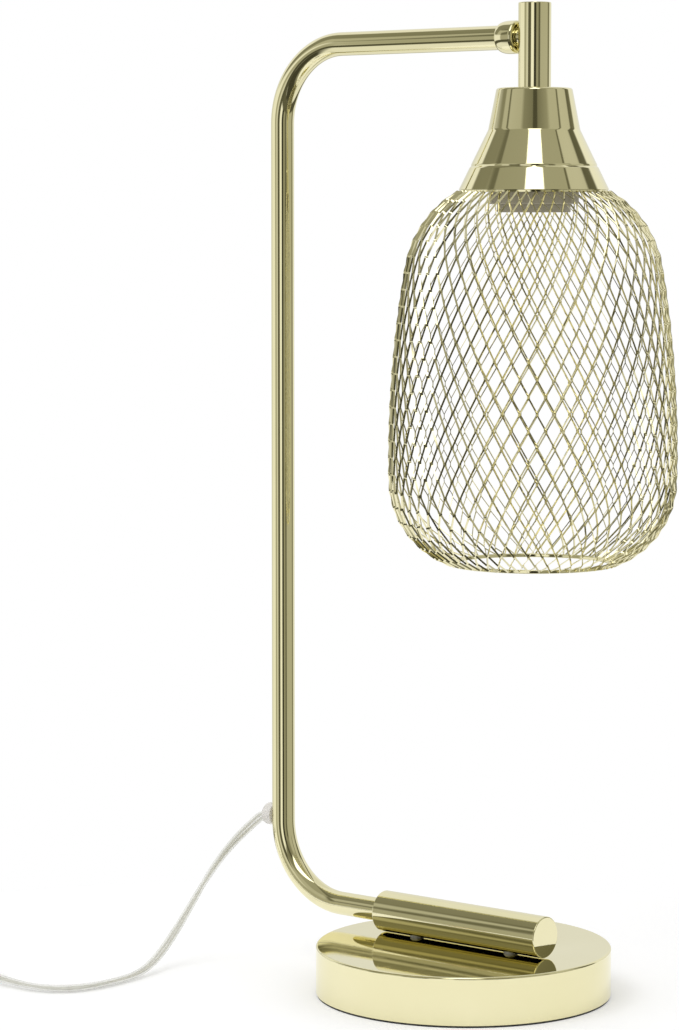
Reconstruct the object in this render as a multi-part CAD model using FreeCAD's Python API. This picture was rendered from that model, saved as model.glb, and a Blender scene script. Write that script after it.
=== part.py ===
"""Table lamp: round weighted base, bent tube post, socket cone and a diamond-mesh shade.

Millimetres, +Z up. The origin is the middle of the base's underside, and +X runs from the post
to the shade.
"""
import FreeCAD, Part
import Mesh
import math
import os

V = FreeCAD.Vector
X_AXIS = V(1, 0, 0)
Y_AXIS = V(0, 1, 0)
Z_AXIS = V(0, 0, 1)

# Clearances
thread_gap = 0.1          # between a screw, nipple or spigot and its hole, on the radius
fit_gap = 0.4             # between a pressed shell and what it covers, on the radius
weld_gap = 0.15           # between the cage's hoops and the ring or plate welded to them
hinge_gap = 0.05          # between the rocker's pivots and their bores, on the radius
thread_runout = 1.0       # a blind hole is this much deeper than its screw
lip_gap = 0.5             # between the cone's rim and the shade plate below it
cap_gap = 0.5             # between the socket cap and the nut above it
boss_room = 0.6           # between the switch's screw bosses and its side walls

# Base
base_radius = 75.0
base_height = 25.0
base_wall = 1.5
base_edge_round = 1.2
shell_lift = 1.0          # the pressed shell's rim stands clear of the table
pad_thickness = 2.2
weight_web = 9.0
weight_rim = 6.5
base_screw_inset = 21.5   # from each end of the bar
base_screw_radius = 2.5
base_screw_bite = 8.0     # thread held by the bar
base_head_radius = 4.25
base_head_height = 3.2
base_washer_radius = 6.0
base_washer_thickness = 1.0

# Bar that carries the post on the base
bar_radius = 10.45
bar_length = 103.0
bar_bevel = 0.6
bar_lift = 0.3            # daylight between the base and the bar
spot_depth = 0.9          # flat spot under the bar for each spacer
spot_radius = 4.3
spacer_radius = 3.6

# Post and arm, one bent tube
post_radius = 6.0
post_wall = 1.0
post_x = -120.0
post_bend = 40.0
post_insert = 15.0        # length held in the bar
arm_z = 481.0
set_screw_radius = 2.0
set_screw_inset = 7.0     # from the bar's end
set_screw_length = 3.4

# Cord outlet in the post
outlet_rise = 2.0         # above the end of the lower bend
outlet_hole_radius = 4.2
grommet_radius = 5.8
grommet_stand = 5.5       # how far it stands out of the post
grommet_nose_radius = 3.6
grommet_neck = 1.0        # how far it reaches inside the tube's wall

# Head: collar on the arm's end, upright head tube and its cap
head_x = 42.0
head_wall = 2.95
head_rise = 16.5          # top of the head above the arm's axis
head_drop = 25.0          # from the arm's axis down to the cone
head_cap_height = 1.6
head_cap_spigot = 6.0
head_cap_round = 0.5
collar_wall = 2.15        # collar's radius beyond the post's
collar_length = 10.8
collar_dome = 5.5
collar_mouth_wall = 0.5
collar_gap = 1.0          # neck left open between collar and head tube
collar_cover = 6.0        # length of the arm inside the collar
stud_wall = 1.9
stud_insert = 10.0

# Socket cone
cone_room = 1.5           # from the socket cap out to the cone's top edge
cone_flare = 4.0          # from the top edge out to the crease
cone_skirt = 14.35        # from the crease out to the rim
cone_top_round = 1.2
cone_crease_drop = 20.3   # below the cone's top
cone_groove_drop = 38.0
cone_wall = 0.8
cone_groove_width = 1.6
cone_groove_depth = 0.3
nipple_radius = 5.0
nipple_wall = 1.8
nipple_rise = 12.0        # length screwed into the head tube
nut_flats = 14.0
nut_height = 4.2
nut_washer_radius = 9.0
nut_washer_thickness = 1.0

# Lamp socket, medium screw base
socket_wall = 4.1
socket_skirt_length = 10.9    # below the shade plate
socket_rise = 25.6            # above the shade plate
socket_flange_width = 3.0
socket_flange_height = 2.6
socket_neck_step = 1.0
socket_ceiling = 8.0
cap_wall = 2.0
cap_top_wall = 3.5
cap_height = 17.5
shell_bore = 13.3
shell_wall = 0.4
shell_seat_gap = 0.2
shell_length = 21.0
shell_set_back = 2.0
contact_width = 4.5
contact_thickness = 0.5
contact_reach = 6.0
contact_drop = 4.5
rivet_radius = 1.5
terminal_offset = 10.0
terminal_block = 6.0
terminal_block_height = 4.0
terminal_screw_radius = 1.6
terminal_screw_bite = 5.0
terminal_head_radius = 3.0
terminal_head_height = 2.6

# Shade fixing
plate_thickness = 1.0
plate_vent_radius = 4.0
plate_vent_count = 6
ring_width = 4.0
ring_height = 5.9
ring_chamfer = 0.8

# Shade cage: diamond mesh on a profile of three tangent arcs
shade_belly_radius = 71.4
shade_side_round = 559.0
shade_shoulder_round = 53.0
shade_shoulder_angle = 9.74
shade_hem_round = 44.9
shade_hem_angle = 1.2
shade_lip = 0.75          # top hoop's radius beyond the cone's rim
shade_hoop_rise = 0.3     # top hoop above the middle of the shade plate
shade_bottom_radius = 42.0
shade_columns = 52
shade_rows = 25
strand_width = 1.1
strand_depth = 1.1
rim_width = 3.0
rim_height = 3.0
rim_bevel = 0.6

# Wiring inside the tube
lead_radius = 1.15
lead_offset = 1.3
lead_sag = 0.5
lead_turn = 2.5
lead_head_turn = 4.5
lead_end_turn = 3.0

# Cord: width of the flat twin flex, its put-away coil, and what is on it
cord_radius = 2.6
cord_start = 3.0          # inside the post, from its axis
coil_turns = 8.25
coil_outer = 38.7
coil_gap = 0.5
coil_centre = V(-247.3, -192.0, 0)
tie_thickness = 0.6
tie_width = 6.0
tie_gap = 0.2
switch_x = -231.0
switch_y = -137.0
switch_length = 50.0
switch_width = 22.0
switch_height = 13.0
switch_split = 4.2        # cord axis and parting line
switch_wall = 1.6
switch_corner = 7.0
switch_edge = 2.0
switch_entry = 5.0        # cord held inside each end
switch_boss_inset = 10.0  # from each end
switch_screw_radius = 1.2
switch_screw_bite = 5.0
switch_head_radius = 2.2
switch_head_height = 1.1
switch_boss_radius = 2.8
rocker_drop = 3.5         # pivot below the top of the switch
rocker_radius = 8.6
rocker_width = 9.0
rocker_crown = 3.6        # height of the top's valley above the pivot
rocker_keel = 2.0
rocker_tilt = 10.0
rocker_pin_radius = 1.45
rocker_pin_length = 1.7
rocker_gap = 0.3
cheek_wall = 2.0
cheek_width = 8.0
strip_width = 3.0
strip_length = 12.0
strip_height = 3.6
strip_thickness = 0.6
plug_x = -196.0
plug_y = -230.0
plug_z = 8.0
plug_length = 35.0
plug_nose_length = 12.0
plug_width = 24.0
plug_height = 15.0
plug_neck_width = 11.0
plug_neck_height = 9.0
plug_corner = 3.0
plug_entry = 5.0
blade_pitch = 12.7
blade_thickness = 1.5
blade_length = 17.5
blade_seat = 6.0
blade_widths = (6.35, 7.94)
blade_gap = 0.05

# Sizes and heights that follow from those above
pad_top = pad_thickness
weight_top = base_height - base_wall
web_bottom = weight_top - weight_web
bar_bottom = base_height + bar_lift
spacer_top = bar_bottom + spot_depth
bar_z = bar_bottom + bar_radius
bar_end = bar_length / 2
base_screw_places = [base_screw_inset - bar_end, bar_end - base_screw_inset]
bend_x = post_x + post_bend
outlet_z = bar_z + post_bend + outlet_rise
head_bore = nipple_radius + thread_gap
head_radius = head_bore + head_wall
head_top = arm_z + head_rise
collar_radius = post_radius + collar_wall
collar_end = head_x - head_radius - collar_gap
collar_start = collar_end - collar_length
arm_end = collar_start + collar_cover
stud_radius = post_radius - post_wall - thread_gap
stud_bore = stud_radius - stud_wall
nipple_bore = nipple_radius - nipple_wall
socket_well = shell_bore + shell_wall + shell_seat_gap
socket_skirt_radius = socket_well + socket_wall
socket_neck_radius = socket_skirt_radius - socket_neck_step
socket_flange_radius = socket_skirt_radius + socket_flange_width
ring_radius = socket_skirt_radius + ring_width
cone_top_z = arm_z - head_drop
cap_top = cone_top_z - cone_wall - nut_washer_thickness - nut_height - cap_gap
socket_top_z = cap_top - cap_height
plate_top = socket_top_z - socket_rise
plate_bottom = plate_top - plate_thickness
flange_top = plate_top + socket_flange_height
socket_bottom_z = plate_top - socket_skirt_length
cone_rim_z = plate_top + lip_gap
cone_crease_z = cone_top_z - cone_crease_drop
cone_groove_z = cone_top_z - cone_groove_drop
cone_top_radius = socket_neck_radius + cone_room
cone_crease_radius = cone_top_radius + cone_flare
cone_rim_radius = cone_crease_radius + cone_skirt
shade_top_radius = cone_rim_radius + shade_lip
lead_z = arm_z - lead_sag
coil_pitch = 2 * cord_radius + coil_gap
coil_z = cord_radius + tie_thickness + tie_gap
switch_screw_x = switch_length / 2 - switch_boss_inset
switch_screw_y = switch_width / 2 - switch_wall - switch_boss_radius - boss_room
rocker_pivot_z = switch_height - rocker_drop

# Free cord from the post to the switch, from the switch to the coil, and from the coil to the plug
lead_route = [
    (post_x - cord_start, 0, outlet_z), (post_x - 19, 0, outlet_z), (-149, -9, 66), (-153, -22, 46),
    (-157, -38, 24), (-156, -56, 8.5), (-150, -78, cord_radius), (-148, -102, cord_radius),
    (-151, -124, cord_radius), (-165, -136.5, cord_radius), (-187, -137.5, 3.0),
    (-202, switch_y, switch_split),
    (switch_x + switch_length / 2 - switch_entry, switch_y, switch_split),
]


def cylinder(radius, length, start, direction=Z_AXIS):
    return Part.makeCylinder(radius, length, start, direction)


def tube(outer, inner, length, start, direction=Z_AXIS):
    return cylinder(outer, length, start, direction).cut(cylinder(inner, length, start, direction))


def box(low, high):
    size = high - low
    return Part.makeBox(size.x, size.y, size.z, low)


def joined(shapes):
    whole = shapes[0]
    for shape in shapes[1:]:
        whole = whole.fuse(shape)
    return whole.removeSplitter()


def outline(points):
    """Closed wire of straight edges. A pair of points is an arc through the first to the second."""
    edges = []
    here = points[0]
    for item in points[1:]:
        if isinstance(item, tuple):
            edges.append(Part.Arc(here, item[0], item[1]).toShape())
            here = item[1]
        else:
            edges.append(Part.makeLine(here, item))
            here = item
    if (here - points[0]).Length > 1e-6:
        edges.append(Part.makeLine(here, points[0]))
    return Part.Wire(edges)


def turned(points, start, axis=Z_AXIS):
    """Solid of revolution about an axis, from an outline that touches or stands off it."""
    return Part.Face(outline(points)).revolve(start, axis, 360)


def about_z(x, points):
    """Turns (radius, height) points about the vertical line at x."""
    def place(point):
        if isinstance(point[0], tuple):
            return tuple(place(each) for each in point)
        return V(x + point[0], 0, point[1])
    return turned([place(point) for point in points], V(x, 0, 0))


def about_x(z, points):
    """Turns (distance along X, radius) points about the line along X at that height."""
    def place(point):
        if isinstance(point[0], tuple):
            return tuple(place(each) for each in point)
        return V(point[0], 0, z + point[1])
    return turned([place(point) for point in points], V(0, 0, z), X_AXIS)


def quarter(centre, radius, middle, end):
    """Arc item for an outline of (a, b) points: through the middle angle to the end angle, in degrees."""
    def at(angle):
        turn = math.radians(angle)
        return (centre[0] + radius * math.cos(turn), centre[1] + radius * math.sin(turn))
    return (at(middle), at(end))


def ring_face(outer, inner, centre, direction):
    hole = Part.Face(Part.Wire(Part.makeCircle(inner, centre, direction)))
    return Part.Face(Part.Wire(Part.makeCircle(outer, centre, direction))).cut(hole).Faces[0]


def flex_section(radius, centre, heading):
    """Eight-sided section of a flexible lead, square to its heading, with a flat underneath."""
    across = heading.cross(Z_AXIS).normalize()
    upright = across.cross(heading).normalize()
    turns = [math.radians(45 * index + 22.5) for index in range(9)]
    corners = [across * math.cos(turn) + upright * math.sin(turn) for turn in turns]
    return Part.makePolygon([centre + corner * radius for corner in corners])


def rounded_box(low, high, corner, edge=0.0):
    """Box with upright corners rounded and, if asked, its top edges too."""
    block = box(low, high)
    block = block.makeFillet(corner, [e for e in block.Edges if e.BoundBox.ZLength > (high.z - low.z) / 2])
    if edge:
        top = [e for e in block.Edges if e.BoundBox.ZMin > high.z - 1e-6]
        block = block.makeFillet(edge, top)
    return block


def write(name, shapes):
    solids = [solid for shape in shapes for solid in shape.Solids]
    whole = solids[0] if len(solids) == 1 else Part.makeCompound(solids)
    valid = all(solid.isValid() and solid.isClosed() for solid in solids)
    print(f"{name}: {len(solids)} solid(s), {sum(s.Volume for s in solids):.1f} mm3, valid {valid}")
    whole.exportStep(f"parts/{name}.step")


# Base
def base_shell():
    inside = base_radius - base_wall
    shell = about_z(0, [
        (0, base_height), (base_radius - base_edge_round, base_height),
        quarter((base_radius - base_edge_round, base_height - base_edge_round), base_edge_round, 45, 0),
        (base_radius, shell_lift), (inside, shell_lift), (inside, weight_top), (0, weight_top),
    ])
    for x in base_screw_places:
        shell = shell.cut(cylinder(base_screw_radius + thread_gap, base_height, V(x, 0, 0)))
    return shell


def base_weight():
    outside = base_radius - base_wall - fit_gap
    inside = outside - weight_rim
    weight = about_z(0, [
        (0, weight_top), (outside, weight_top), (outside, pad_top), (inside, pad_top), (inside, web_bottom),
        (0, web_bottom),
    ])
    for x in base_screw_places:
        weight = weight.cut(cylinder(base_screw_radius + thread_gap, base_height, V(x, 0, 0)))
    return weight


def base_pad():
    return cylinder(base_radius - base_wall - fit_gap, pad_thickness, V(0, 0, 0))


def base_screw(x):
    head_top_z = web_bottom - base_washer_thickness
    shank = cylinder(base_screw_radius, spacer_top + base_screw_bite - head_top_z, V(x, 0, head_top_z))
    head = cylinder(base_head_radius, base_head_height, V(x, 0, head_top_z - base_head_height))
    return joined([shank, head])


def base_washer(x):
    start = V(x, 0, web_bottom - base_washer_thickness)
    return tube(base_washer_radius, base_screw_radius + thread_gap, base_washer_thickness, start)


def bar_spacer(x):
    return tube(spacer_radius, base_screw_radius + thread_gap, spacer_top - base_height, V(x, 0, base_height))


def bar():
    rod = about_x(bar_z, [
        (-bar_end, 0), (-bar_end, bar_radius - bar_bevel), (-bar_end + bar_bevel, bar_radius),
        (bar_end - bar_bevel, bar_radius), (bar_end, bar_radius - bar_bevel), (bar_end, 0),
    ])
    rod = rod.cut(cylinder(post_radius + thread_gap, post_insert, V(-bar_end, 0, bar_z), X_AXIS))
    for x in base_screw_places:
        rod = rod.cut(cylinder(spot_radius, spot_depth, V(x, 0, bar_bottom)))
        depth = base_screw_bite + thread_runout
        rod = rod.cut(cylinder(base_screw_radius + thread_gap, depth, V(x, 0, spacer_top)))
    hole = cylinder(set_screw_radius + thread_gap, bar_radius, V(set_screw_inset - bar_end, 0, bar_bottom))
    return rod.cut(hole)


def post_set_screw():
    top = bar_z - post_radius
    start = V(set_screw_inset - bar_end, 0, top - set_screw_length)
    screw = cylinder(set_screw_radius, set_screw_length, start)
    key = Part.Face(Part.makePolygon([
        start + V(math.cos(math.radians(a)), math.sin(math.radians(a)), 0) for a in range(0, 361, 60)
    ])).extrude(V(0, 0, set_screw_length / 2))
    return screw.cut(key)


# Post
def post_path(start_x, end_x):
    """Centre line of the bent tube, from inside the bar to inside the collar."""
    lean = post_bend * (1 - math.sqrt(0.5))
    foot, crown = bar_z + post_bend, arm_z - post_bend
    return [
        Part.makeLine(V(start_x, 0, bar_z), V(bend_x, 0, bar_z)),
        Part.Arc(V(bend_x, 0, bar_z), V(post_x + lean, 0, bar_z + lean), V(post_x, 0, foot)).toShape(),
        Part.makeLine(V(post_x, 0, foot), V(post_x, 0, crown)),
        Part.Arc(V(post_x, 0, crown), V(post_x + lean, 0, arm_z - lean), V(bend_x, 0, arm_z)).toShape(),
        Part.makeLine(V(bend_x, 0, arm_z), V(end_x, 0, arm_z)),
    ]


def post():
    start_x = post_insert - bar_end
    ring = ring_face(post_radius, post_radius - post_wall, V(start_x, 0, bar_z), X_AXIS)
    pipe = Part.Wire(post_path(start_x, arm_end)).makePipe(ring)
    outlet = cylinder(outlet_hole_radius, 2 * post_radius, V(post_x, 0, outlet_z), -X_AXIS)
    return pipe.cut(outlet)


def cord_grommet():
    wall_x = post_x - post_radius
    nose_x = wall_x - grommet_stand
    bore = cord_radius + weld_gap
    dome = grommet_radius - grommet_nose_radius
    body = about_x(outlet_z, [
        (post_x, 0), (post_x, grommet_radius), (nose_x + dome, grommet_radius),
        quarter((nose_x + dome, grommet_nose_radius), dome, 135, 180), (nose_x, 0),
    ])
    tube_start = V(post_x, 0, outlet_z - 2 * grommet_radius)
    tube_around = cylinder(post_radius + thread_gap, 4 * grommet_radius, tube_start)
    neck_length = post_wall + grommet_neck + 0.5 * grommet_stand
    neck_start = V(wall_x - 0.5 * grommet_stand, 0, outlet_z)
    neck = cylinder(outlet_hole_radius - thread_gap, neck_length, neck_start, X_AXIS)
    through = cylinder(bore, 4 * grommet_radius, V(nose_x - 1, 0, outlet_z), X_AXIS)
    return joined([body.cut(tube_around), neck]).cut(through)


# Head
def arm_collar():
    mouth = post_radius + thread_gap
    dome_end = collar_start + collar_dome
    rise = collar_radius - mouth - collar_mouth_wall
    middle = math.radians(135)
    return about_x(arm_z, [
        (collar_start, mouth), (collar_start, mouth + collar_mouth_wall),
        ((dome_end + collar_dome * math.cos(middle), collar_radius - rise + rise * math.sin(middle)),
         (dome_end, collar_radius)),
        (collar_end, collar_radius), (collar_end, stud_radius + thread_gap),
        (arm_end + thread_gap, stud_radius + thread_gap), (arm_end + thread_gap, mouth),
    ])


def arm_stud():
    start = arm_end - stud_insert
    stud = tube(stud_radius, stud_bore, head_x - start, V(start, 0, arm_z), X_AXIS)
    return stud.cut(cylinder(head_bore, head_top, V(head_x, 0, 0)))


def head_tube():
    body = tube(head_radius, head_bore, head_top - head_cap_height - cone_top_z, V(head_x, 0, cone_top_z))
    return body.cut(cylinder(stud_radius + thread_gap, head_radius + 1, V(head_x, 0, arm_z), -X_AXIS))


def head_cap():
    seat = head_top - head_cap_height
    return about_z(head_x, [
        (0, head_top), (head_radius - head_cap_round, head_top),
        quarter((head_radius - head_cap_round, head_top - head_cap_round), head_cap_round, 45, 0),
        (head_radius, seat), (head_bore - thread_gap, seat), (head_bore - thread_gap, seat - head_cap_spigot),
        (0, seat - head_cap_spigot),
    ])


# Socket cone and what clamps it
def socket_cone():
    slope = (cone_rim_radius - cone_crease_radius) / (cone_crease_z - cone_rim_z)
    skin = cone_wall * math.hypot(1, slope)

    def flank(z):
        return cone_crease_radius + slope * (cone_crease_z - z)
    groove_top = cone_groove_z + cone_groove_width / 2
    groove_bottom = cone_groove_z - cone_groove_width / 2
    ceiling = cone_top_z - cone_wall
    hole = nipple_radius + thread_gap
    lean = math.degrees(math.atan2(cone_crease_radius - cone_top_radius, cone_top_z - cone_crease_z))
    shoulder = (cone_top_radius - cone_top_round, cone_top_z - cone_top_round)
    return about_z(head_x, [
        (hole, cone_top_z), (shoulder[0], cone_top_z),
        quarter(shoulder, cone_top_round, (90 + lean) / 2, lean),
        (cone_crease_radius, cone_crease_z), (flank(groove_top), groove_top),
        (flank(cone_groove_z) - cone_groove_depth, cone_groove_z), (flank(groove_bottom), groove_bottom),
        (cone_rim_radius, cone_rim_z), (cone_rim_radius - skin, cone_rim_z),
        (cone_crease_radius - skin, cone_crease_z), (cone_top_radius - skin, ceiling), (hole, ceiling),
    ])


def nipple():
    bottom = cap_top - cap_top_wall
    length = cone_top_z + nipple_rise - bottom
    return tube(nipple_radius, nipple_bore, length, V(head_x, 0, bottom))


def nut_washer():
    start = V(head_x, 0, cone_top_z - cone_wall - nut_washer_thickness)
    return tube(nut_washer_radius, nipple_radius + thread_gap, nut_washer_thickness, start)


def nipple_nut():
    start = V(head_x, 0, cone_top_z - cone_wall - nut_washer_thickness - nut_height)
    corner = nut_flats / math.sqrt(3)
    hexagon = Part.Face(Part.makePolygon([
        start + V(corner * math.cos(math.radians(a)), corner * math.sin(math.radians(a)), 0)
        for a in range(0, 361, 60)
    ]))
    hole = cylinder(nipple_radius + thread_gap, nut_height, start)
    return hexagon.extrude(V(0, 0, nut_height)).cut(hole)


# Socket
def socket_cap():
    return about_z(head_x, [
        (socket_neck_radius, socket_top_z), (socket_neck_radius, cap_top - cap_wall),
        quarter((socket_neck_radius - cap_wall, cap_top - cap_wall), cap_wall, 45, 90),
        (nipple_radius + thread_gap, cap_top), (nipple_radius + thread_gap, cap_top - cap_top_wall),
        (socket_neck_radius - cap_wall, cap_top - cap_top_wall),
        (socket_neck_radius - cap_wall, socket_top_z),
    ])


def terminal_places():
    return [V(head_x, side * terminal_offset, socket_top_z) for side in (-1, 1)]


def socket_body():
    ceiling = socket_top_z - socket_ceiling
    body = about_z(head_x, [
        (0, socket_top_z), (socket_neck_radius, socket_top_z), (socket_neck_radius, flange_top),
        (socket_flange_radius, flange_top), (socket_flange_radius, plate_top),
        (socket_skirt_radius, plate_top), (socket_skirt_radius, socket_bottom_z),
        (socket_well, socket_bottom_z), (socket_well, ceiling), (0, ceiling),
    ])
    rivet_place = V(head_x - contact_reach / 2, 0, ceiling)
    body = body.cut(cylinder(rivet_radius + thread_gap, socket_ceiling, rivet_place))
    for place in terminal_places():
        depth = terminal_screw_bite + thread_runout
        body = body.cut(cylinder(terminal_screw_radius + thread_gap, depth, place, -Z_AXIS))
    return body


def screw_shell():
    start = V(head_x, 0, socket_bottom_z + shell_set_back)
    return tube(shell_bore + shell_wall, shell_bore, shell_length, start)


def centre_contact():
    ceiling = socket_top_z - socket_ceiling
    reach, drop, thick = contact_reach, contact_drop, contact_thickness
    steps = [(-reach, 0), (-reach / 4, 0), (reach / 2, -drop), (reach, -drop)]
    upper = [V(head_x + x, -contact_width / 2, ceiling + z) for x, z in steps]
    lower = [point - V(0, 0, thick) for point in reversed(upper)]
    strip = Part.Face(outline(upper + lower)).extrude(V(0, contact_width, 0))
    rivet = cylinder(rivet_radius, socket_ceiling, V(head_x - reach / 2, 0, ceiling))
    return joined([strip, rivet])


def terminal_block_at(place):
    half = terminal_block / 2
    block = box(place - V(half, half, 0), place + V(half, half, terminal_block_height))
    return block.cut(cylinder(terminal_screw_radius + thread_gap, terminal_block_height, place))


def terminal_screw_at(place):
    head_z = place + V(0, 0, terminal_block_height)
    length = terminal_block_height + terminal_screw_bite
    shank = cylinder(terminal_screw_radius, length, place - V(0, 0, terminal_screw_bite))
    return joined([shank, cylinder(terminal_head_radius, terminal_head_height, head_z)])


def bend_arc(start, corner, end):
    """Quarter circle between two points, tangent to the lines through their common corner."""
    centre = start + end - corner
    middle = centre + (corner - centre).normalize() * (start - centre).Length
    return Part.Arc(start, middle, end).toShape()


def inner_lead(side):
    """One conductor from the cord's end in the post to its terminal in the socket."""
    y = side * lead_offset
    end_z = socket_top_z + terminal_block_height + terminal_head_height / 2
    end_y = side * (terminal_offset - terminal_head_radius - weld_gap)
    corners = [
        (V(post_x + lead_sag, y, outlet_z), lead_turn),
        (V(post_x + lead_sag, y, lead_z), post_bend - lead_sag),
        (V(head_x - lead_sag, y, lead_z), lead_head_turn),
        (V(head_x - lead_sag, y, end_z), lead_end_turn),
    ]
    start = V(post_x - cord_start + thread_gap, y, outlet_z)
    end = V(head_x - lead_sag, end_y, end_z)
    points = [corner for corner, _ in corners] + [end]
    edges = []
    here = start
    for (corner, radius), ahead in zip(corners, points[1:]):
        first = corner + (here - corner).normalize() * radius
        second = corner + (ahead - corner).normalize() * radius
        edges.append(Part.makeLine(here, first))
        edges.append(bend_arc(first, corner, second))
        here = second
    edges.append(Part.makeLine(here, end))
    section = flex_section(lead_radius, start, X_AXIS)
    return Part.Wire(edges).makePipeShell([section], True, False)


# Shade
def shade_curve():
    """Ridge line of the mesh from the bottom hoop up: its length, and its points by distance."""
    shoulder = math.radians(shade_shoulder_angle)
    hem = math.radians(-shade_hem_angle)

    def inside(angle, radius):
        """Centre of an arc that meets the side's arc at that angle, from the side's centre height."""
        reach = shade_side_round - radius
        across = shade_belly_radius - shade_side_round + reach * math.cos(angle)
        return across, reach * math.sin(angle)
    low, high = inside(hem, shade_hem_round), inside(shoulder, shade_shoulder_round)
    first = -math.acos((shade_bottom_radius - low[0]) / shade_hem_round)
    last = math.acos((shade_top_radius - high[0]) / shade_shoulder_round)
    hoop_z = plate_top - plate_thickness / 2 + shade_hoop_rise
    belly_z = hoop_z - high[1] - shade_shoulder_round * math.sin(last)
    side = (shade_belly_radius - shade_side_round, 0)
    arcs = [
        (low, shade_hem_round, first, hem), (side, shade_side_round, hem, shoulder),
        (high, shade_shoulder_round, shoulder, last),
    ]
    lengths = [radius * (end - start) for _, radius, start, end in arcs]

    def at(distance):
        index = 0
        while index < 2 and distance > lengths[index]:
            distance -= lengths[index]
            index += 1
        centre, radius, start, _ = arcs[index]
        angle = start + distance / radius
        normal = (math.cos(angle), math.sin(angle))
        return centre[0] + radius * normal[0], belly_z + centre[1] + radius * normal[1], normal
    return sum(lengths), at


class Cage:
    """Diamond mesh: strands of three-sided section between nodes on rows, closed by a hoop at each end."""

    def __init__(self):
        self.length, self.at = shade_curve()
        self.step = self.length / shade_rows
        self.half = strand_width / 2
        self.faces = []

    def place(self, distance, turn, depth):
        radius, height, normal = self.at(distance)
        radius -= depth * normal[0]
        return V(head_x + radius * math.cos(turn), radius * math.sin(turn), height - depth * normal[1])

    def turn(self, row, column):
        return 2 * math.pi * (column + 0.5 * (row % 2)) / shade_columns

    def ridge(self, row, column):
        return self.place(row * self.step, self.turn(row, column), 0)

    def corner(self, row, column, way):
        """Inner corner of the gap that lies up, right, down or left of a node."""
        radius = self.at(row * self.step)[0]
        angle = math.atan2(self.step, math.pi * radius / shade_columns)
        turn = self.turn(row, column)
        distance = row * self.step
        at_hoop = row in (0, shade_rows)
        inward = 1 if row == 0 else -1
        if way in ("up", "down"):
            sign = 1 if way == "up" else -1
            outside = at_hoop and sign != inward
            rise = self.half if outside else self.half / math.cos(angle)
            return self.place(distance + sign * rise, turn, strand_depth)
        sign = 1 if way == "right" else -1
        shift = self.half / math.sin(angle)
        if at_hoop:
            shift *= 1 + math.cos(angle)
            distance += inward * self.half
        return self.place(distance, turn + sign * shift / radius, strand_depth)

    def gaps(self):
        """Every gap as its nodes in order, each with the way from that node to the gap."""
        top = shade_rows
        below = [(0, i, "down") for i in reversed(range(shade_columns))]
        above = [(top, i, "up") for i in range(shade_columns)]
        found = [below, above]
        for i in range(shade_columns):
            last = i - top % 2
            found.append([(0, i, "right"), (0, i + 1, "left"), (1, i, "down")])
            found.append([(top - 1, i, "up"), (top, last + 1, "left"), (top, last, "right")])
            for j in range(top - 1):
                left = i - 1 + j % 2
                near, far = (j, i, "up"), (j + 2, i, "down")
                found.append([near, (j + 1, left + 1, "left"), far, (j + 1, left, "right")])
        return found

    def add(self, *points):
        for index in range(1, len(points) - 1):
            self.faces.append([points[0], points[index], points[index + 1]])

    def solid(self):
        edges = {}
        for gap in self.gaps():
            for (row, column, way), (row_2, column_2, way_2) in zip(gap, gap[1:] + gap[:1]):
                column, column_2 = column % shade_columns, column_2 % shade_columns
                near, far = self.corner(row, column, way), self.corner(row_2, column_2, way_2)
                self.add(self.ridge(row, column), self.ridge(row_2, column_2), far, near)
                edges[(row, column), (row_2, column_2)] = (near, far)
        for (start, end), (near, far) in edges.items():
            if start < end:
                other_far, other_near = edges[end, start]
                self.add(near, far, other_far, other_near)
        for row in range(shade_rows + 1):
            for column in range(shade_columns):
                self.add(*[self.corner(row, column, way) for way in ("up", "right", "down", "left")])
        skin = Part.Shape()
        skin.makeShapeFromMesh(Mesh.Mesh(self.faces).Topology, 0.001)
        whole = Part.makeSolid(skin)
        return whole if whole.Volume > 0 else whole.reversed()

    def hoop_inside(self, row):
        """Radius inside the flats of an end hoop."""
        way = "down" if row == 0 else "up"
        corner = self.corner(row, 0, way) - V(head_x, 0, 0)
        return math.hypot(corner.x, corner.y) * math.cos(math.pi / shade_columns)


def shade_plate(cage):
    outside = cage.hoop_inside(shade_rows) - weld_gap
    hole = socket_skirt_radius + shell_seat_gap
    plate = tube(outside, hole, plate_thickness, V(head_x, 0, plate_bottom))
    middle = (outside + socket_flange_radius) / 2
    for index in range(plate_vent_count):
        turn = 2 * math.pi * index / plate_vent_count
        place = V(head_x + middle * math.cos(turn), middle * math.sin(turn), plate_bottom)
        plate = plate.cut(cylinder(plate_vent_radius, plate_thickness, place))
    return plate


def shade_ring():
    bottom = plate_bottom - ring_height
    hole = socket_skirt_radius + thread_gap
    return about_z(head_x, [
        (hole, bottom), (ring_radius - ring_chamfer, bottom), (ring_radius, bottom + ring_chamfer),
        (ring_radius, plate_bottom), (hole, plate_bottom),
    ])


def shade_rim(cage):
    outside = cage.hoop_inside(0) - weld_gap
    middle = cage.corner(0, 0, "down").z
    start = V(head_x, 0, middle - rim_height / 2)
    rim = tube(outside, outside - rim_width, rim_height, start)
    return rim.makeChamfer(rim_bevel, [e for e in rim.Edges if len(e.Vertexes) == 1])


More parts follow.
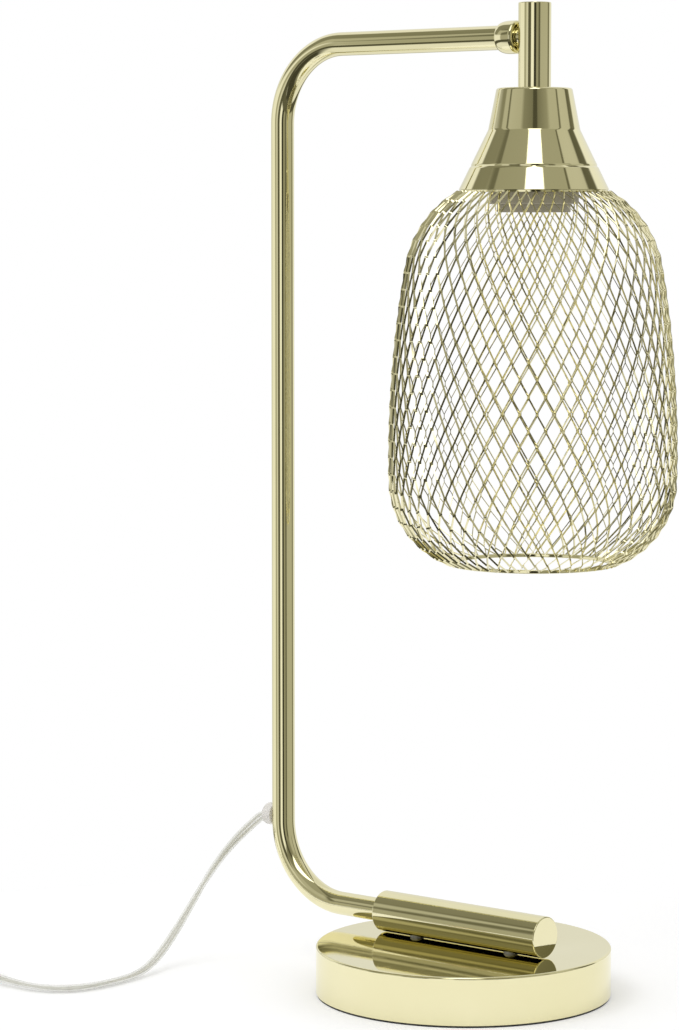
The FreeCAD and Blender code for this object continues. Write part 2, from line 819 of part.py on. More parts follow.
# Cord
def cord_run(name, points):
    """Tube along straight runs joined by arcs as large as the runs allow."""
    route = [V(*point) for point in points]
    edges = []
    here = route[0]
    radii = []
    for before, corner, after in zip(route, route[1:], route[2:]):
        back, ahead = before - corner, after - corner
        turn = math.pi - back.getAngle(ahead)
        reach = 0.45 * min(back.Length, ahead.Length)
        radii.append(reach / math.tan(turn / 2))
        first = corner + back.normalize() * reach
        second = corner + ahead.normalize() * reach
        inward = (first + second - corner * 2).normalize()
        middle = corner + inward * (radii[-1] / math.cos(turn / 2) - radii[-1])
        edges.append(Part.makeLine(here, first))
        edges.append(Part.Arc(first, middle, second).toShape())
        here = second
    edges.append(Part.makeLine(here, route[-1]))
    path = Part.Wire(edges)
    section = flex_section(cord_radius, route[0], route[1] - route[0])
    run = path.makePipeShell([section], True, False)
    share = run.Volume / (Part.Face(section).Area * path.Length)
    print(f"{name}: length {path.Length:.1f}, radii {[round(r, 1) for r in radii]}, volume share {share:.4f}")
    return run, path.Length


def coil_point(turns):
    """Point of the coil's centre line: in on the lower layer, out on the upper one."""
    half = coil_turns / 2
    radius = coil_outer - coil_pitch * min(turns, coil_turns - turns)
    climb = min(max((turns - half) / 0.5 + 0.5, 0), 1)
    rise = climb * climb * (3 - 2 * climb)
    angle = math.pi + 2 * math.pi * turns
    return coil_centre + V(radius * math.cos(angle), radius * math.sin(angle), coil_z + coil_pitch * rise)


def coil_heading(turns):
    """Direction of the coil's centre line, level and square to its radius at both ends."""
    step = 1e-4
    if turns < step or turns > coil_turns - step:
        angle = math.pi + 2 * math.pi * turns
        return V(-math.sin(angle), math.cos(angle), 0)
    return (coil_point(turns + step) - coil_point(turns - step)).normalize()


def biarc(start, heading, end, end_heading):
    """Two arcs that leave one point and reach the other along the given headings."""
    chord = end - start
    both = heading + end_heading
    a = 2 * (1 - heading.dot(end_heading))
    b = chord.dot(both)
    reach = (math.sqrt(b * b + a * chord.dot(chord)) - b) / a
    knot = (start + heading * reach + end - end_heading * reach) * 0.5
    return [arc_from(start, heading, knot), arc_from(end, -end_heading, knot, True)]


def arc_from(start, heading, end, back=False):
    """Arc that leaves a point along a heading and ends at another point, drawn forwards or back."""
    chord = end - start
    across = (heading - chord * (heading.dot(chord) / chord.dot(chord))).normalize()
    middle = start + chord * 0.5 + across * (chord.Length / 2 * math.tan(heading.getAngle(chord) / 2))
    return Part.Arc(end, middle, start).toShape() if back else Part.Arc(start, middle, end).toShape()


def cord_coil():
    quarters = int(round(coil_turns * 4))
    edges = []
    for index in range(quarters):
        first, second = index / 4, (index + 1) / 4
        edges += biarc(coil_point(first), coil_heading(first), coil_point(second), coil_heading(second))
    path = Part.Wire(edges)
    section = flex_section(cord_radius, coil_point(0), coil_heading(0))
    coil = path.makePipeShell([section], True, False)
    points = [point for edge in path.Edges for point in edge.discretize(7)[:-1]]
    spacing = path.Length / len(points)
    apart = int(3 * math.pi * cord_radius / spacing)
    gap = min(
        (points[i] - points[j]).Length for i in range(len(points)) for j in range(i + apart, len(points))
    ) - 2 * cord_radius
    share = coil.Volume / (Part.Face(section).Area * path.Length)
    print(f"cord_coil: length {path.Length:.1f}, least gap {gap:.2f}, volume share {share:.4f}")
    return coil, path.Length


def cord_tie():
    """Flat strap round the bundle of turns on the coil's +X side."""
    crossings = [(coil_point(turn + 0.5) - coil_centre).x for turn in range(int(coil_turns))]
    hollow = min(crossings) - cord_radius
    low_x = coil_centre.x + math.sqrt(hollow ** 2 - (tie_width / 2) ** 2) - tie_gap
    high_x = coil_centre.x + max(crossings) + cord_radius + tie_gap
    low_z = tie_thickness
    high_z = coil_z + coil_pitch + cord_radius + tie_gap
    near, far = coil_centre.y - tie_width / 2, coil_centre.y + tie_width / 2
    grow = V(tie_thickness, 0, tie_thickness)
    outside = box(V(low_x, near, low_z) - grow, V(high_x, far, high_z) + grow)
    return outside.cut(box(V(low_x, near, low_z), V(high_x, far, high_z)))


# In-line switch
def switch_screw_places():
    return [V(switch_x + side * switch_screw_x, switch_y + side * switch_screw_y, 0) for side in (-1, 1)]


def switch_block(low_z, high_z, inset, edge=0.0):
    """Block of the switch's outline, drawn in by a wall's thickness for the room inside."""
    half = V(switch_length / 2 - inset, switch_width / 2 - inset, 0)
    low = V(switch_x, switch_y, low_z) - half
    high = V(switch_x, switch_y, high_z) + half
    return rounded_box(low, high, switch_corner - inset, edge)


def cord_entries():
    start = V(switch_x - switch_length, switch_y, switch_split)
    return cylinder(cord_radius + thread_gap, 2 * switch_length, start, X_AXIS)


def entry_clamps(low_z, high_z):
    """Saddles inside both ends that hold the cord."""
    clamps = []
    for side in (-1, 1):
        outer = switch_x + side * (switch_length / 2 - switch_wall / 2)
        inner = switch_x + side * (switch_length / 2 - switch_entry)
        near, far = sorted((outer, inner))
        reach = cord_radius + 2 * switch_wall
        clamps.append(box(V(near, switch_y - reach, low_z), V(far, switch_y + reach, high_z)))
    return clamps


def switch_lower_shell():
    shell = switch_block(0, switch_split, 0).cut(switch_block(switch_wall, switch_split, switch_wall))
    bosses = [cylinder(switch_boss_radius, switch_split, place) for place in switch_screw_places()]
    shell = joined([shell] + bosses + entry_clamps(switch_wall / 2, switch_split)).cut(cord_entries())
    for place in switch_screw_places():
        shell = shell.cut(cylinder(switch_screw_radius + thread_gap, switch_split, place))
        shell = shell.cut(cylinder(switch_head_radius + thread_gap, switch_head_height + thread_gap, place))
    return shell


def rocker_place():
    return V(switch_x, switch_y, rocker_pivot_z)


def switch_upper_shell():
    roof = switch_height - switch_wall
    shell = switch_block(switch_split, switch_height, 0, switch_edge)
    shell = shell.cut(switch_block(switch_split, roof, switch_wall))
    bosses = [
        cylinder(switch_boss_radius, roof + switch_wall / 2 - switch_split, place + V(0, 0, switch_split))
        for place in switch_screw_places()
    ]
    clamps = entry_clamps(switch_split, switch_split + cord_radius + switch_wall)
    inner = rocker_width / 2 + rocker_gap
    cheeks = []
    for side in (-1, 1):
        near, far = sorted((side * inner, side * (inner + cheek_wall)))
        low = V(switch_x - cheek_width / 2, switch_y + near, rocker_pivot_z - cheek_width / 3)
        cheeks.append(box(low, V(switch_x + cheek_width / 2, switch_y + far, roof + switch_wall / 2)))
    shell = joined([shell] + bosses + clamps + cheeks).cut(cord_entries())
    window = V(rocker_radius + rocker_gap, inner, 0)
    shell = shell.cut(box(rocker_place() - window, rocker_place() + window + V(0, 0, switch_height)))
    pivot_start = rocker_place() - V(0, rocker_width, 0)
    shell = shell.cut(cylinder(rocker_pin_radius + hinge_gap, 2 * rocker_width, pivot_start, Y_AXIS))
    for place in switch_screw_places():
        depth = switch_screw_bite + thread_runout
        shell = shell.cut(cylinder(switch_screw_radius + thread_gap, depth, place + V(0, 0, switch_split)))
    return shell


def switch_rocker():
    """Drum segment with a shallow valley on top, modelled level and then tipped to its off stop."""
    place = rocker_place()
    start = place - V(0, rocker_width / 2, 0)
    drum = cylinder(rocker_radius, rocker_width, start, Y_AXIS)
    rise = rocker_radius * math.tan(math.radians(rocker_tilt))
    profile = [
        V(-rocker_radius, 0, -rocker_keel), V(rocker_radius, 0, -rocker_keel),
        V(rocker_radius, 0, rocker_crown + rise), V(0, 0, rocker_crown),
        V(-rocker_radius, 0, rocker_crown + rise),
    ]
    block = Part.Face(outline([start + point for point in profile])).extrude(V(0, rocker_width, 0))
    pins = cylinder(rocker_pin_radius, rocker_width + 2 * rocker_pin_length,
                    start - V(0, rocker_pin_length, 0), Y_AXIS)
    rocker = joined([drum.common(block), pins])
    rocker.rotate(place, Y_AXIS, -rocker_tilt)
    return rocker


def switch_screw_at(place):
    shank = cylinder(switch_screw_radius, switch_split + switch_screw_bite, place)
    return joined([shank, cylinder(switch_head_radius, switch_head_height, place)])


def switch_contact(side):
    """Angle strip fixed to the switch's floor, its upright end towards the middle."""
    inner = switch_x + side * strip_thickness * 2
    outer = inner + side * strip_length
    foot = box(V(min(inner, outer), switch_y - strip_width / 2, switch_wall),
               V(max(inner, outer), switch_y + strip_width / 2, switch_wall + strip_thickness))
    edge = inner + side * strip_thickness
    tab = box(V(min(inner, edge), switch_y - strip_width / 2, switch_wall),
              V(max(inner, edge), switch_y + strip_width / 2, switch_wall + strip_height))
    return joined([foot, tab])


# Plug
def plug_section(x, width, height):
    low = V(x, plug_y - width / 2, plug_z - height / 2)
    block = box(low, low + V(1, width, height))
    block = block.makeFillet(plug_corner, [e for e in block.Edges if e.BoundBox.XLength > 0.5])
    return [face for face in block.Faces if face.BoundBox.XMax < x + 1e-6][0].OuterWire


def blade_places():
    return [(plug_y - blade_pitch / 2, blade_widths[0]), (plug_y + blade_pitch / 2, blade_widths[1])]


def blade_box(y, width, start, end, gap):
    half = V(0, blade_thickness / 2 + gap, width / 2 + gap)
    return box(V(start, y, plug_z) - half, V(end, y, plug_z) + half)


def plug_body():
    front = plug_x + plug_length
    neck = plug_section(plug_x, plug_neck_width, plug_neck_height)
    full = plug_section(plug_x + plug_nose_length, plug_width, plug_height)
    face = plug_section(front, plug_width, plug_height)
    body = joined([Part.makeLoft([neck, full], True, True), Part.makeLoft([full, face], True, True)])
    body = body.cut(cylinder(cord_radius + thread_gap, plug_entry, V(plug_x, plug_y, plug_z), X_AXIS))
    for y, width in blade_places():
        body = body.cut(blade_box(y, width, front - blade_seat, front + 1, blade_gap))
    return body


def plug_blades():
    front = plug_x + plug_length
    return [blade_box(y, width, front - blade_seat, front + blade_length, 0) for y, width in blade_places()]


def main():
    os.makedirs("parts", exist_ok=True)
    cage = Cage()
    coil_start = coil_point(0)
    coil_end = coil_point(coil_turns)
    mid_route = [
        (switch_x - switch_length / 2 + switch_entry, switch_y, switch_split),
        (-269, switch_y, switch_split - 0.3),
        (-283, switch_y - 15, coil_z), (coil_start.x, switch_y - 36, coil_z), tuple(coil_start),
    ]
    tail_route = [
        tuple(coil_end), (coil_end.x + 17, coil_end.y, coil_end.z), (plug_x - 14, plug_y, plug_z),
        (plug_x + plug_entry, plug_y, plug_z),
    ]
    lead, lead_length = cord_run("cord_lead", lead_route)
    middle, middle_length = cord_run("cord_middle", mid_route)
    coil, coil_length = cord_coil()
    tail, tail_length = cord_run("cord_tail", tail_route)
    through_switch = switch_length - 2 * switch_entry
    total = lead_length + through_switch + middle_length + coil_length + tail_length
    print(f"cord from the post to the plug: {total:.0f}")
    nodes = {
        "base_shell": [base_shell()],
        "base_weight": [base_weight()],
        "base_pad": [base_pad()],
        "base_screws": [base_screw(x) for x in base_screw_places],
        "base_screw_washers": [base_washer(x) for x in base_screw_places],
        "bar_spacers": [bar_spacer(x) for x in base_screw_places],
        "bar": [bar()],
        "post_set_screw": [post_set_screw()],
        "post": [post()],
        "cord_grommet": [cord_grommet()],
        "inner_leads": [inner_lead(side) for side in (-1, 1)],
        "arm_collar": [arm_collar()],
        "arm_stud": [arm_stud()],
        "head_tube": [head_tube()],
        "head_cap": [head_cap()],
        "socket_cone": [socket_cone()],
        "nipple": [nipple()],
        "nut_washer": [nut_washer()],
        "nipple_nut": [nipple_nut()],
        "socket_cap": [socket_cap()],
        "socket_body": [socket_body()],
        "screw_shell": [screw_shell()],
        "centre_contact": [centre_contact()],
        "terminal_blocks": [terminal_block_at(place) for place in terminal_places()],
        "terminal_screws": [terminal_screw_at(place) for place in terminal_places()],
        "shade_plate": [shade_plate(cage)],
        "shade_ring": [shade_ring()],
        "shade_cage": [cage.solid()],
        "shade_rim": [shade_rim(cage)],
        "cord_lead": [lead],
        "cord_middle": [middle],
        "cord_coil": [coil],
        "cord_tail": [tail],
        "cord_tie": [cord_tie()],
        "switch_lower_shell": [switch_lower_shell()],
        "switch_upper_shell": [switch_upper_shell()],
        "switch_rocker": [switch_rocker()],
        "switch_contacts": [switch_contact(side) for side in (-1, 1)],
        "switch_screws": [switch_screw_at(place) for place in switch_screw_places()],
        "plug_body": [plug_body()],
        "plug_blades": plug_blades(),
    }
    for name, shapes in nodes.items():
        write(name, shapes)


main()
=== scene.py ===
"""Dresses the table lamp: polished pale gold metal, a diamond-mesh shade and a clear flat cord."""
import math

import bmesh
import bpy
from mathutils import Matrix, Vector

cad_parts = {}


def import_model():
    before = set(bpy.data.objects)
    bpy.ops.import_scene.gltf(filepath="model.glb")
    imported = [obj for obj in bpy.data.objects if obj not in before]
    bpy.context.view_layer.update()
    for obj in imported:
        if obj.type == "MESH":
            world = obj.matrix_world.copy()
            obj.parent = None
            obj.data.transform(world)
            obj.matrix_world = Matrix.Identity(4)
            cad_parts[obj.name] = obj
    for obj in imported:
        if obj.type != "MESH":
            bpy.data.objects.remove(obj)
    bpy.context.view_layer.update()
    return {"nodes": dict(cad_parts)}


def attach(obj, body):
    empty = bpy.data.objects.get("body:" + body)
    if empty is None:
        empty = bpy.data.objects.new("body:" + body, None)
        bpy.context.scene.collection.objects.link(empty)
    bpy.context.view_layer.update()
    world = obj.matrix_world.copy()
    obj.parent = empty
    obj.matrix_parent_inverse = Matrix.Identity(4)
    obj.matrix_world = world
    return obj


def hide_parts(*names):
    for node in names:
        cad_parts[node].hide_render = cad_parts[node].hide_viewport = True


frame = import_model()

nodes = frame["nodes"]
LAMP = "lamp"
MM = 0.001

# Sizes and places in millimetres, in the solid model's frame. Each ROUND is an edge's rounding.
BASE_RADIUS, BASE_HEIGHT, BASE_WALL, BASE_LIFT = 75.0, 25.0, 1.5, 1.0
BASE_TOP_ROUND, BASE_FOOT_ROUND = 1.1, 0.25
# The pad's lip reaches wider than the solid's pad, out under the base's edge: it is real dark
# rubber, and there it is also painted shade in the gap.
PAD_RADIUS, PAD_HEIGHT, PAD_SHADE_LIP, PAD_GAP, PAD_ROUND = 73.1, 2.2, 74.5, 0.1, 0.2
BAR_RADIUS, BAR_HALF, BAR_Z, BAR_ROUND = 10.45, 51.5, 35.75, 0.55
SPACER_RADIUS, SPACER_BORE, SPACER_ROUND = 3.6, 2.6, 0.2
SPACER_BOTTOM, SPACER_TOP, SPACER_X = 25.0, 26.2, 30.0
POST_RADIUS, POST_X, POST_BEND, POST_START, POST_ROUND = 6.0, -120.0, 40.0, -36.5, 0.4
ARM_Z, ARM_END = 481.0, 28.15
GROMMET_Z, GROMMET_RADIUS, GROMMET_NOSE, GROMMET_STAND = 77.75, 5.8, 3.6, 5.5
GROMMET_SEAT, GROMMET_GAP, GROMMET_ROUND = 0.9, 0.15, 0.25
COLLAR_START, COLLAR_END, COLLAR_RADIUS, COLLAR_DOME = 22.15, 32.95, 8.15, 5.5
COLLAR_MOUTH, COLLAR_GAP, COLLAR_COVER, COLLAR_BORE = 0.6, 0.05, 6, 4.95
COLLAR_END_ROUND, COLLAR_ROUND = 1.7, 0.35
HEAD_X, HEAD_RADIUS, HEAD_BORE = 42.0, 8.05, 5.1
HEAD_BOTTOM, HEAD_SEAM, HEAD_TOP, HEAD_ROUND = 456.0, 495.9, 497.5, 0.45
SPIGOT_RADIUS, SPIGOT_LENGTH = 5.0, 6
CONE_TOP, CONE_CREASE, CONE_GROOVE, CONE_RIM = 456.0, 435.7, 418.0, 406.5
CONE_TOP_RADIUS, CONE_CREASE_RADIUS, CONE_RIM_RADIUS = 18.5, 22.5, 36.85
CONE_WALL, CONE_BORE, GROOVE_HALF, GROOVE_DEPTH = 0.8, 5.1, 0.8, 0.35
CONE_TOP_ROUND, CONE_CREASE_ROUND, CONE_RIM_ROUND, GROOVE_ROUND = 1.1, 0.5, 0.2, 0.3
SOCKET_BOTTOM, SOCKET_TOP, PLATE_TOP, PLATE_BOTTOM = 395.5, 432.0, 406.4, 405.4
SOCKET_SKIRT, SOCKET_WELL, SOCKET_NECK, SOCKET_CEILING = 18.0, 13.9, 17, 8
SOCKET_FLANGE, SOCKET_FLANGE_HEIGHT, SOCKET_ROUND = 21, 2.6, 0.4
RING_RADIUS, RING_BORE, RING_HEIGHT, RING_ROUND = 22.0, 18.1, 5.9, 0.8
THREAD_RADIUS, THREAD_PITCH, THREAD_TURNS, THREAD_BOTTOM = 13.3, 3.0, 7, 397.5
THREAD_WAVE, THREAD_WALL, THREAD_POINTS, THREAD_STEPS = 0.18, 0.2, 8, 96
CORD_WIDTH, CORD_THICK, CORD_CORE, CORD_WAIST = 5.2, 3.2, 0.62, 0.86
PLUG_BACK, PLUG_SHOULDER, PLUG_FRONT, PLUG_Y, PLUG_Z = -196.0, -184.0, -161.0, -230.0, 8.0
PLUG_WIDTH, PLUG_HEIGHT, PLUG_NECK_WIDTH, PLUG_NECK_HEIGHT = 24.0, 15.0, 11.0, 9.0
PLUG_SIDE_ROUND, PLUG_END_ROUND, PLUG_SHOULDER_ROUND = 3.0, 1.0, 2.0
PLUG_RIBS, PLUG_RIB_START, PLUG_RIB_STEP = 5, -179.5, 2.6
PLUG_RIB_EDGE, PLUG_RIB_DEPTH = 0.45, 0.7
TIE_NEAR_X, TIE_FAR_X, TIE_TOP, TIE_Y = -233.68, -208.05, 12.5, -192.0
TIE_WIDTH, TIE_WALL, TIE_CORNER, TIE_ROUND = 6.0, 0.6, 2.6, 0.15

# Shade: three tangent arcs from the bottom hoop up, and the diamond mesh on them
SHADE_COLUMNS, SHADE_ROWS = 52, 25
SHADE_BELLY, SHADE_SIDE, SHADE_SHOULDER, SHADE_HEM = 71.4, 559.0, 53.0, 44.9
SHADE_SHOULDER_TURN, SHADE_HEM_TURN = math.radians(9.74), math.radians(-1.2)
SHADE_TOP_RADIUS, SHADE_BOTTOM_RADIUS, SHADE_TOP = 37.6, 42.0, 406.2
STRAND_WIDTH, STRAND_DEPTH, STRAND_LEAN, STRAND_BOND = 0.84, 0.36, math.radians(53), 1.6
STRAND_REACH = 0.3  # the strip's direction is taken over this much to either side
RIM_OUTER, RIM_INNER, RIM_LOW, RIM_HIGH, RIM_ROUND = 40.55, 38.4, 221.6, 223.4, 0.4

# Mesh work: how near counts as at a place (in mm), when points are one (in metres), and the
# least angle that shades as an edge
NEAR = 0.05
WELD, THREAD_WELD = 1e-7, 1e-6
SHARP = math.radians(38)


# Shader helpers
def add(tree, kind, **settings):
    node = tree.nodes.new(kind)
    for name, value in settings.items():
        setattr(node, name, value)
    return node


def feed(tree, value, socket):
    """Links an output to a socket, or sets the socket to a plain value."""
    if isinstance(value, bpy.types.NodeSocket):
        tree.links.new(value, socket)
    else:
        socket.default_value = value


def maths(tree, operation, *values):
    node = add(tree, "ShaderNodeMath", operation=operation)
    for socket, value in zip(node.inputs, values):
        feed(tree, value, socket)
    return node.outputs[0]


def mixed(tree, factor, first, second):
    """Mixes two colours. A mix node's colour sockets are 6 and 7, and its colour output is 2."""
    node = add(tree, "ShaderNodeMix", data_type="RGBA")
    for index, value in ((0, factor), (6, first), (7, second)):
        feed(tree, value, node.inputs[index])
    return node.outputs[2]


def noise(tree, coords, scale, detail=3.0, stretch=None):
    if stretch:
        mapping = add(tree, "ShaderNodeMapping")
        mapping.inputs["Scale"].default_value = stretch
        tree.links.new(coords, mapping.inputs["Vector"])
        coords = mapping.outputs["Vector"]
    texture = add(tree, "ShaderNodeTexNoise")
    texture.inputs["Scale"].default_value = scale
    texture.inputs["Detail"].default_value = detail
    tree.links.new(coords, texture.inputs["Vector"])
    return texture.outputs["Fac"]


def spread(tree, value, low, high, to_low=0.0, to_high=1.0):
    """Maps the stretch of a value from low to high onto another one."""
    node = add(tree, "ShaderNodeMapRange")
    for name, given in (("From Min", low), ("From Max", high), ("To Min", to_low),
                        ("To Max", to_high), ("Value", value)):
        feed(tree, given, node.inputs[name])
    return node.outputs["Result"]


def relief(tree, shader, height, strength, distance):
    bump = add(tree, "ShaderNodeBump")
    bump.inputs["Strength"].default_value = strength
    bump.inputs["Distance"].default_value = distance
    tree.links.new(height, bump.inputs["Height"])
    tree.links.new(bump.outputs["Normal"], shader.inputs["Normal"])


# Surfaces: each group takes two tones and plain values, and gives what a shader needs
def new_group(name, values):
    group = bpy.data.node_groups.new(name, "ShaderNodeTree")
    sockets = [("Coordinates", "INPUT", "Vector"),
               ("Light tone", "INPUT", "Color"), ("Deep tone", "INPUT", "Color")]
    sockets += [(label, "INPUT", "Float") for label in values]
    sockets += [("Colour", "OUTPUT", "Color"),
                ("Roughness", "OUTPUT", "Float"), ("Height", "OUTPUT", "Float")]
    for label, way, kind in sockets:
        group.interface.new_socket(label, in_out=way, socket_type="NodeSocket" + kind)
    return group, add(group, "NodeGroupInput").outputs, add(group, "NodeGroupOutput").inputs


def polish_group():
    """Buffed metal: faint cloudy tone, hazy smudges and hair-fine buffing lines."""
    group, given, out = new_group("buffed_metal", ["Clear", "Hazy"])
    coords = given["Coordinates"]
    cloud = spread(group, noise(group, coords, scale=16.0), 0.35, 0.65)
    smudge = spread(group, noise(group, coords, scale=95.0, detail=5.0), 0.42, 0.7)
    lines = noise(group, coords, scale=1.0, detail=2.0, stretch=(2600.0, 2600.0, 160.0))
    feed(group, mixed(group, cloud, given["Light tone"], given["Deep tone"]), out["Colour"])
    feed(group, spread(group, smudge, 0.0, 1.0, given["Clear"], given["Hazy"]), out["Roughness"])
    feed(group, lines, out["Height"])
    return group


def moulded_group():
    """Moulded plastic or rubber: slow colour drift, fine spark texture and rubbed patches."""
    group, given, out = new_group("moulded_skin", ["Smooth", "Matte", "Grain"])
    coords = given["Coordinates"]
    drift = spread(group, noise(group, coords, scale=60.0), 0.3, 0.7)
    rubbed = spread(group, noise(group, coords, scale=210.0, detail=4.0), 0.4, 0.65)
    spark = noise(group, coords, scale=2400.0, detail=2.0)
    feed(group, mixed(group, drift, given["Light tone"], given["Deep tone"]), out["Colour"])
    feed(group, spread(group, rubbed, 0.0, 1.0, given["Smooth"], given["Matte"]), out["Roughness"])
    feed(group, maths(group, "MULTIPLY", spark, given["Grain"]), out["Height"])
    return group


BUFFED = polish_group()
MOULDED = moulded_group()


def new_material(name):
    material = bpy.data.materials.new(name)
    material.use_nodes = True
    return material, material.node_tree, material.node_tree.nodes["Principled BSDF"]


def surfaced(name, group, values, bump, metallic=0.0):
    """Material with one Principled shader that a surface group feeds."""
    material, tree, shader = new_material(name)
    shader.inputs["Metallic"].default_value = metallic
    surface = add(tree, "ShaderNodeGroup")
    surface.node_tree = group
    coords = add(tree, "ShaderNodeTexCoord")
    tree.links.new(coords.outputs["Object"], surface.inputs["Coordinates"])
    for label, value in values.items():
        plain = isinstance(value, float)
        surface.inputs[label].default_value = value if plain else (*value, 1.0)
    tree.links.new(surface.outputs["Colour"], shader.inputs["Base Color"])
    tree.links.new(surface.outputs["Roughness"], shader.inputs["Roughness"])
    relief(tree, shader, surface.outputs["Height"], *bump)
    return material


def metal(name, light, deep, clear, hazy, bump=(0.04, 0.00002)):
    values = {"Light tone": light, "Deep tone": deep, "Clear": clear, "Hazy": hazy}
    return surfaced(name, BUFFED, values, bump, metallic=1.0)


def plastic(name, light, deep, smooth, matte, grain):
    values = {"Light tone": light, "Deep tone": deep, "Smooth": smooth, "Matte": matte,
              "Grain": grain}
    return surfaced(name, MOULDED, values, bump=(0.25, 0.00008))


def see_through(material, thin, dense):
    """Lets light through a clear plastic, a little cloudier here and there."""
    tree = material.node_tree
    coords = add(tree, "ShaderNodeTexCoord").outputs["Object"]
    cloud = spread(tree, noise(tree, coords, scale=130.0), 0.35, 0.65, thin, dense)
    tree.links.new(cloud, tree.nodes["Principled BSDF"].inputs["Alpha"])
    return material


def tinned_strands():
    """Tinned copper strands seen through the cord: fine twisted wires on the core's own map."""
    material, tree, shader = new_material("tinned_strands")
    shader.inputs["Metallic"].default_value = 0.35
    coords = add(tree, "ShaderNodeTexCoord")
    turn = add(tree, "ShaderNodeMapping")
    turn.inputs["Scale"].default_value = (900.0, 7.0, 1.0)
    tree.links.new(coords.outputs["UV"], turn.inputs["Vector"])
    wave = add(tree, "ShaderNodeTexWave", wave_type="BANDS", bands_direction="DIAGONAL")
    wave.inputs["Scale"].default_value = 0.5
    wave.inputs["Distortion"].default_value = 0.6
    tree.links.new(turn.outputs["Vector"], wave.inputs["Vector"])
    twist = wave.outputs["Fac"]
    ramp = add(tree, "ShaderNodeValToRGB")
    ramp.color_ramp.elements[0].color = (0.58, 0.575, 0.49, 1)
    ramp.color_ramp.elements[1].color = (0.88, 0.87, 0.79, 1)
    tree.links.new(twist, ramp.inputs["Fac"])
    tree.links.new(ramp.outputs["Color"], shader.inputs["Base Color"])
    tree.links.new(spread(tree, twist, 0.0, 1.0, 0.6, 0.42), shader.inputs["Roughness"])
    relief(tree, shader, twist, strength=0.4, distance=0.0001)
    return material


# Metals: light and deep tone, roughness where clear and where hazy, strength and depth of bump
GOLD = metal("polished_pale_gold", (0.86, 0.81, 0.53), (0.83, 0.78, 0.49), 0.03, 0.07)
MESH_GOLD = metal("mesh_pale_gold", (0.87, 0.82, 0.56), (0.82, 0.77, 0.50), 0.04, 0.09)
STEEL = metal("zinc_steel", (0.60, 0.60, 0.61), (0.50, 0.50, 0.50), 0.22, 0.38, (0.15, 0.00004))
IRON = metal("cast_iron", (0.17, 0.17, 0.18), (0.12, 0.12, 0.12), 0.55, 0.75, (0.6, 0.0004))
BRASS = metal("contact_brass", (0.76, 0.60, 0.30), (0.66, 0.50, 0.23), 0.18, 0.34, (0.1, 0.00003))
# Plastics: light and deep tone, roughness where smooth and where matte, strength of grain
PAD = plastic("pad_rubber", (0.035, 0.035, 0.035), (0.02, 0.02, 0.02), 0.75, 0.9, 1.0)
NYLON = plastic("spacer_nylon", (0.42, 0.42, 0.40), (0.34, 0.34, 0.32), 0.4, 0.55, 0.5)
# The socket's parts take a tone darkened to their look in the shade under the cone: painted shade.
SOCKET_SHADED_TONE = plastic("socket_painted_shade", (0.40, 0.37, 0.275), (0.36, 0.33, 0.245), 0.42, 0.6, 0.8)
FITTING = plastic("fitting_ivory", (0.76, 0.75, 0.69), (0.745, 0.73, 0.67), 0.20, 0.27, 0.12)
INSULATION = plastic("lead_insulation", (0.72, 0.72, 0.69), (0.64, 0.64, 0.61), 0.4, 0.55, 0.3)
STRAP = plastic("tie_strap", (0.80, 0.80, 0.77), (0.74, 0.74, 0.71), 0.4, 0.6, 0.6)
CLEAR = see_through(
    plastic("clear_cord", (0.92, 0.92, 0.87), (0.885, 0.885, 0.825), 0.10, 0.16, 0.02),
    thin=0.36, dense=0.46)
CLEAR_BUSH = see_through(
    plastic("clear_bush", (0.91, 0.885, 0.85), (0.88, 0.855, 0.815), 0.12, 0.18, 0.03),
    thin=0.64, dense=0.76)
STRANDS = tinned_strands()


# Shape helpers
def new_object(name, data):
    made = bpy.data.objects.new(name, data)
    bpy.context.scene.collection.objects.link(made)
    return made


def dress(name, bm, materials, slot, *replaced):
    """Turns a bmesh into a finished piece that rides on the lamp and replaces the named solids."""
    for face in bm.faces:
        face.smooth = True
    for edge in bm.edges:
        edge.smooth = len(edge.link_faces) != 2 or edge.calc_face_angle() < SHARP
    mesh = bpy.data.meshes.new(name)
    bm.to_mesh(mesh)
    bm.free()
    for material in materials:
        mesh.materials.append(material)
    piece = new_object(name, mesh)
    shine = piece.modifiers.new("even_shine", "WEIGHTED_NORMAL")
    shine.weight = 60
    shine.keep_sharp = True
    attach(piece, LAMP)
    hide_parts(*replaced)
    return piece


def verts_in(items):
    return [item for item in items if isinstance(item, bmesh.types.BMVert)]


def edges_in(items):
    return [item for item in items if isinstance(item, bmesh.types.BMEdge)]


def grow(bm, edges):
    """Extrudes a ring of edges. Gives all that is new, its vertices and the ring at its end."""
    grown = bmesh.ops.extrude_edge_only(bm, edges=edges)["geom"]
    verts = verts_in(grown)
    return grown, verts, [e for e in edges_in(grown) if all(v in verts for v in e.verts)]


def weld(bm, room=WELD):
    bmesh.ops.remove_doubles(bm, verts=bm.verts, dist=room)
    bmesh.ops.recalc_face_normals(bm, faces=bm.faces)


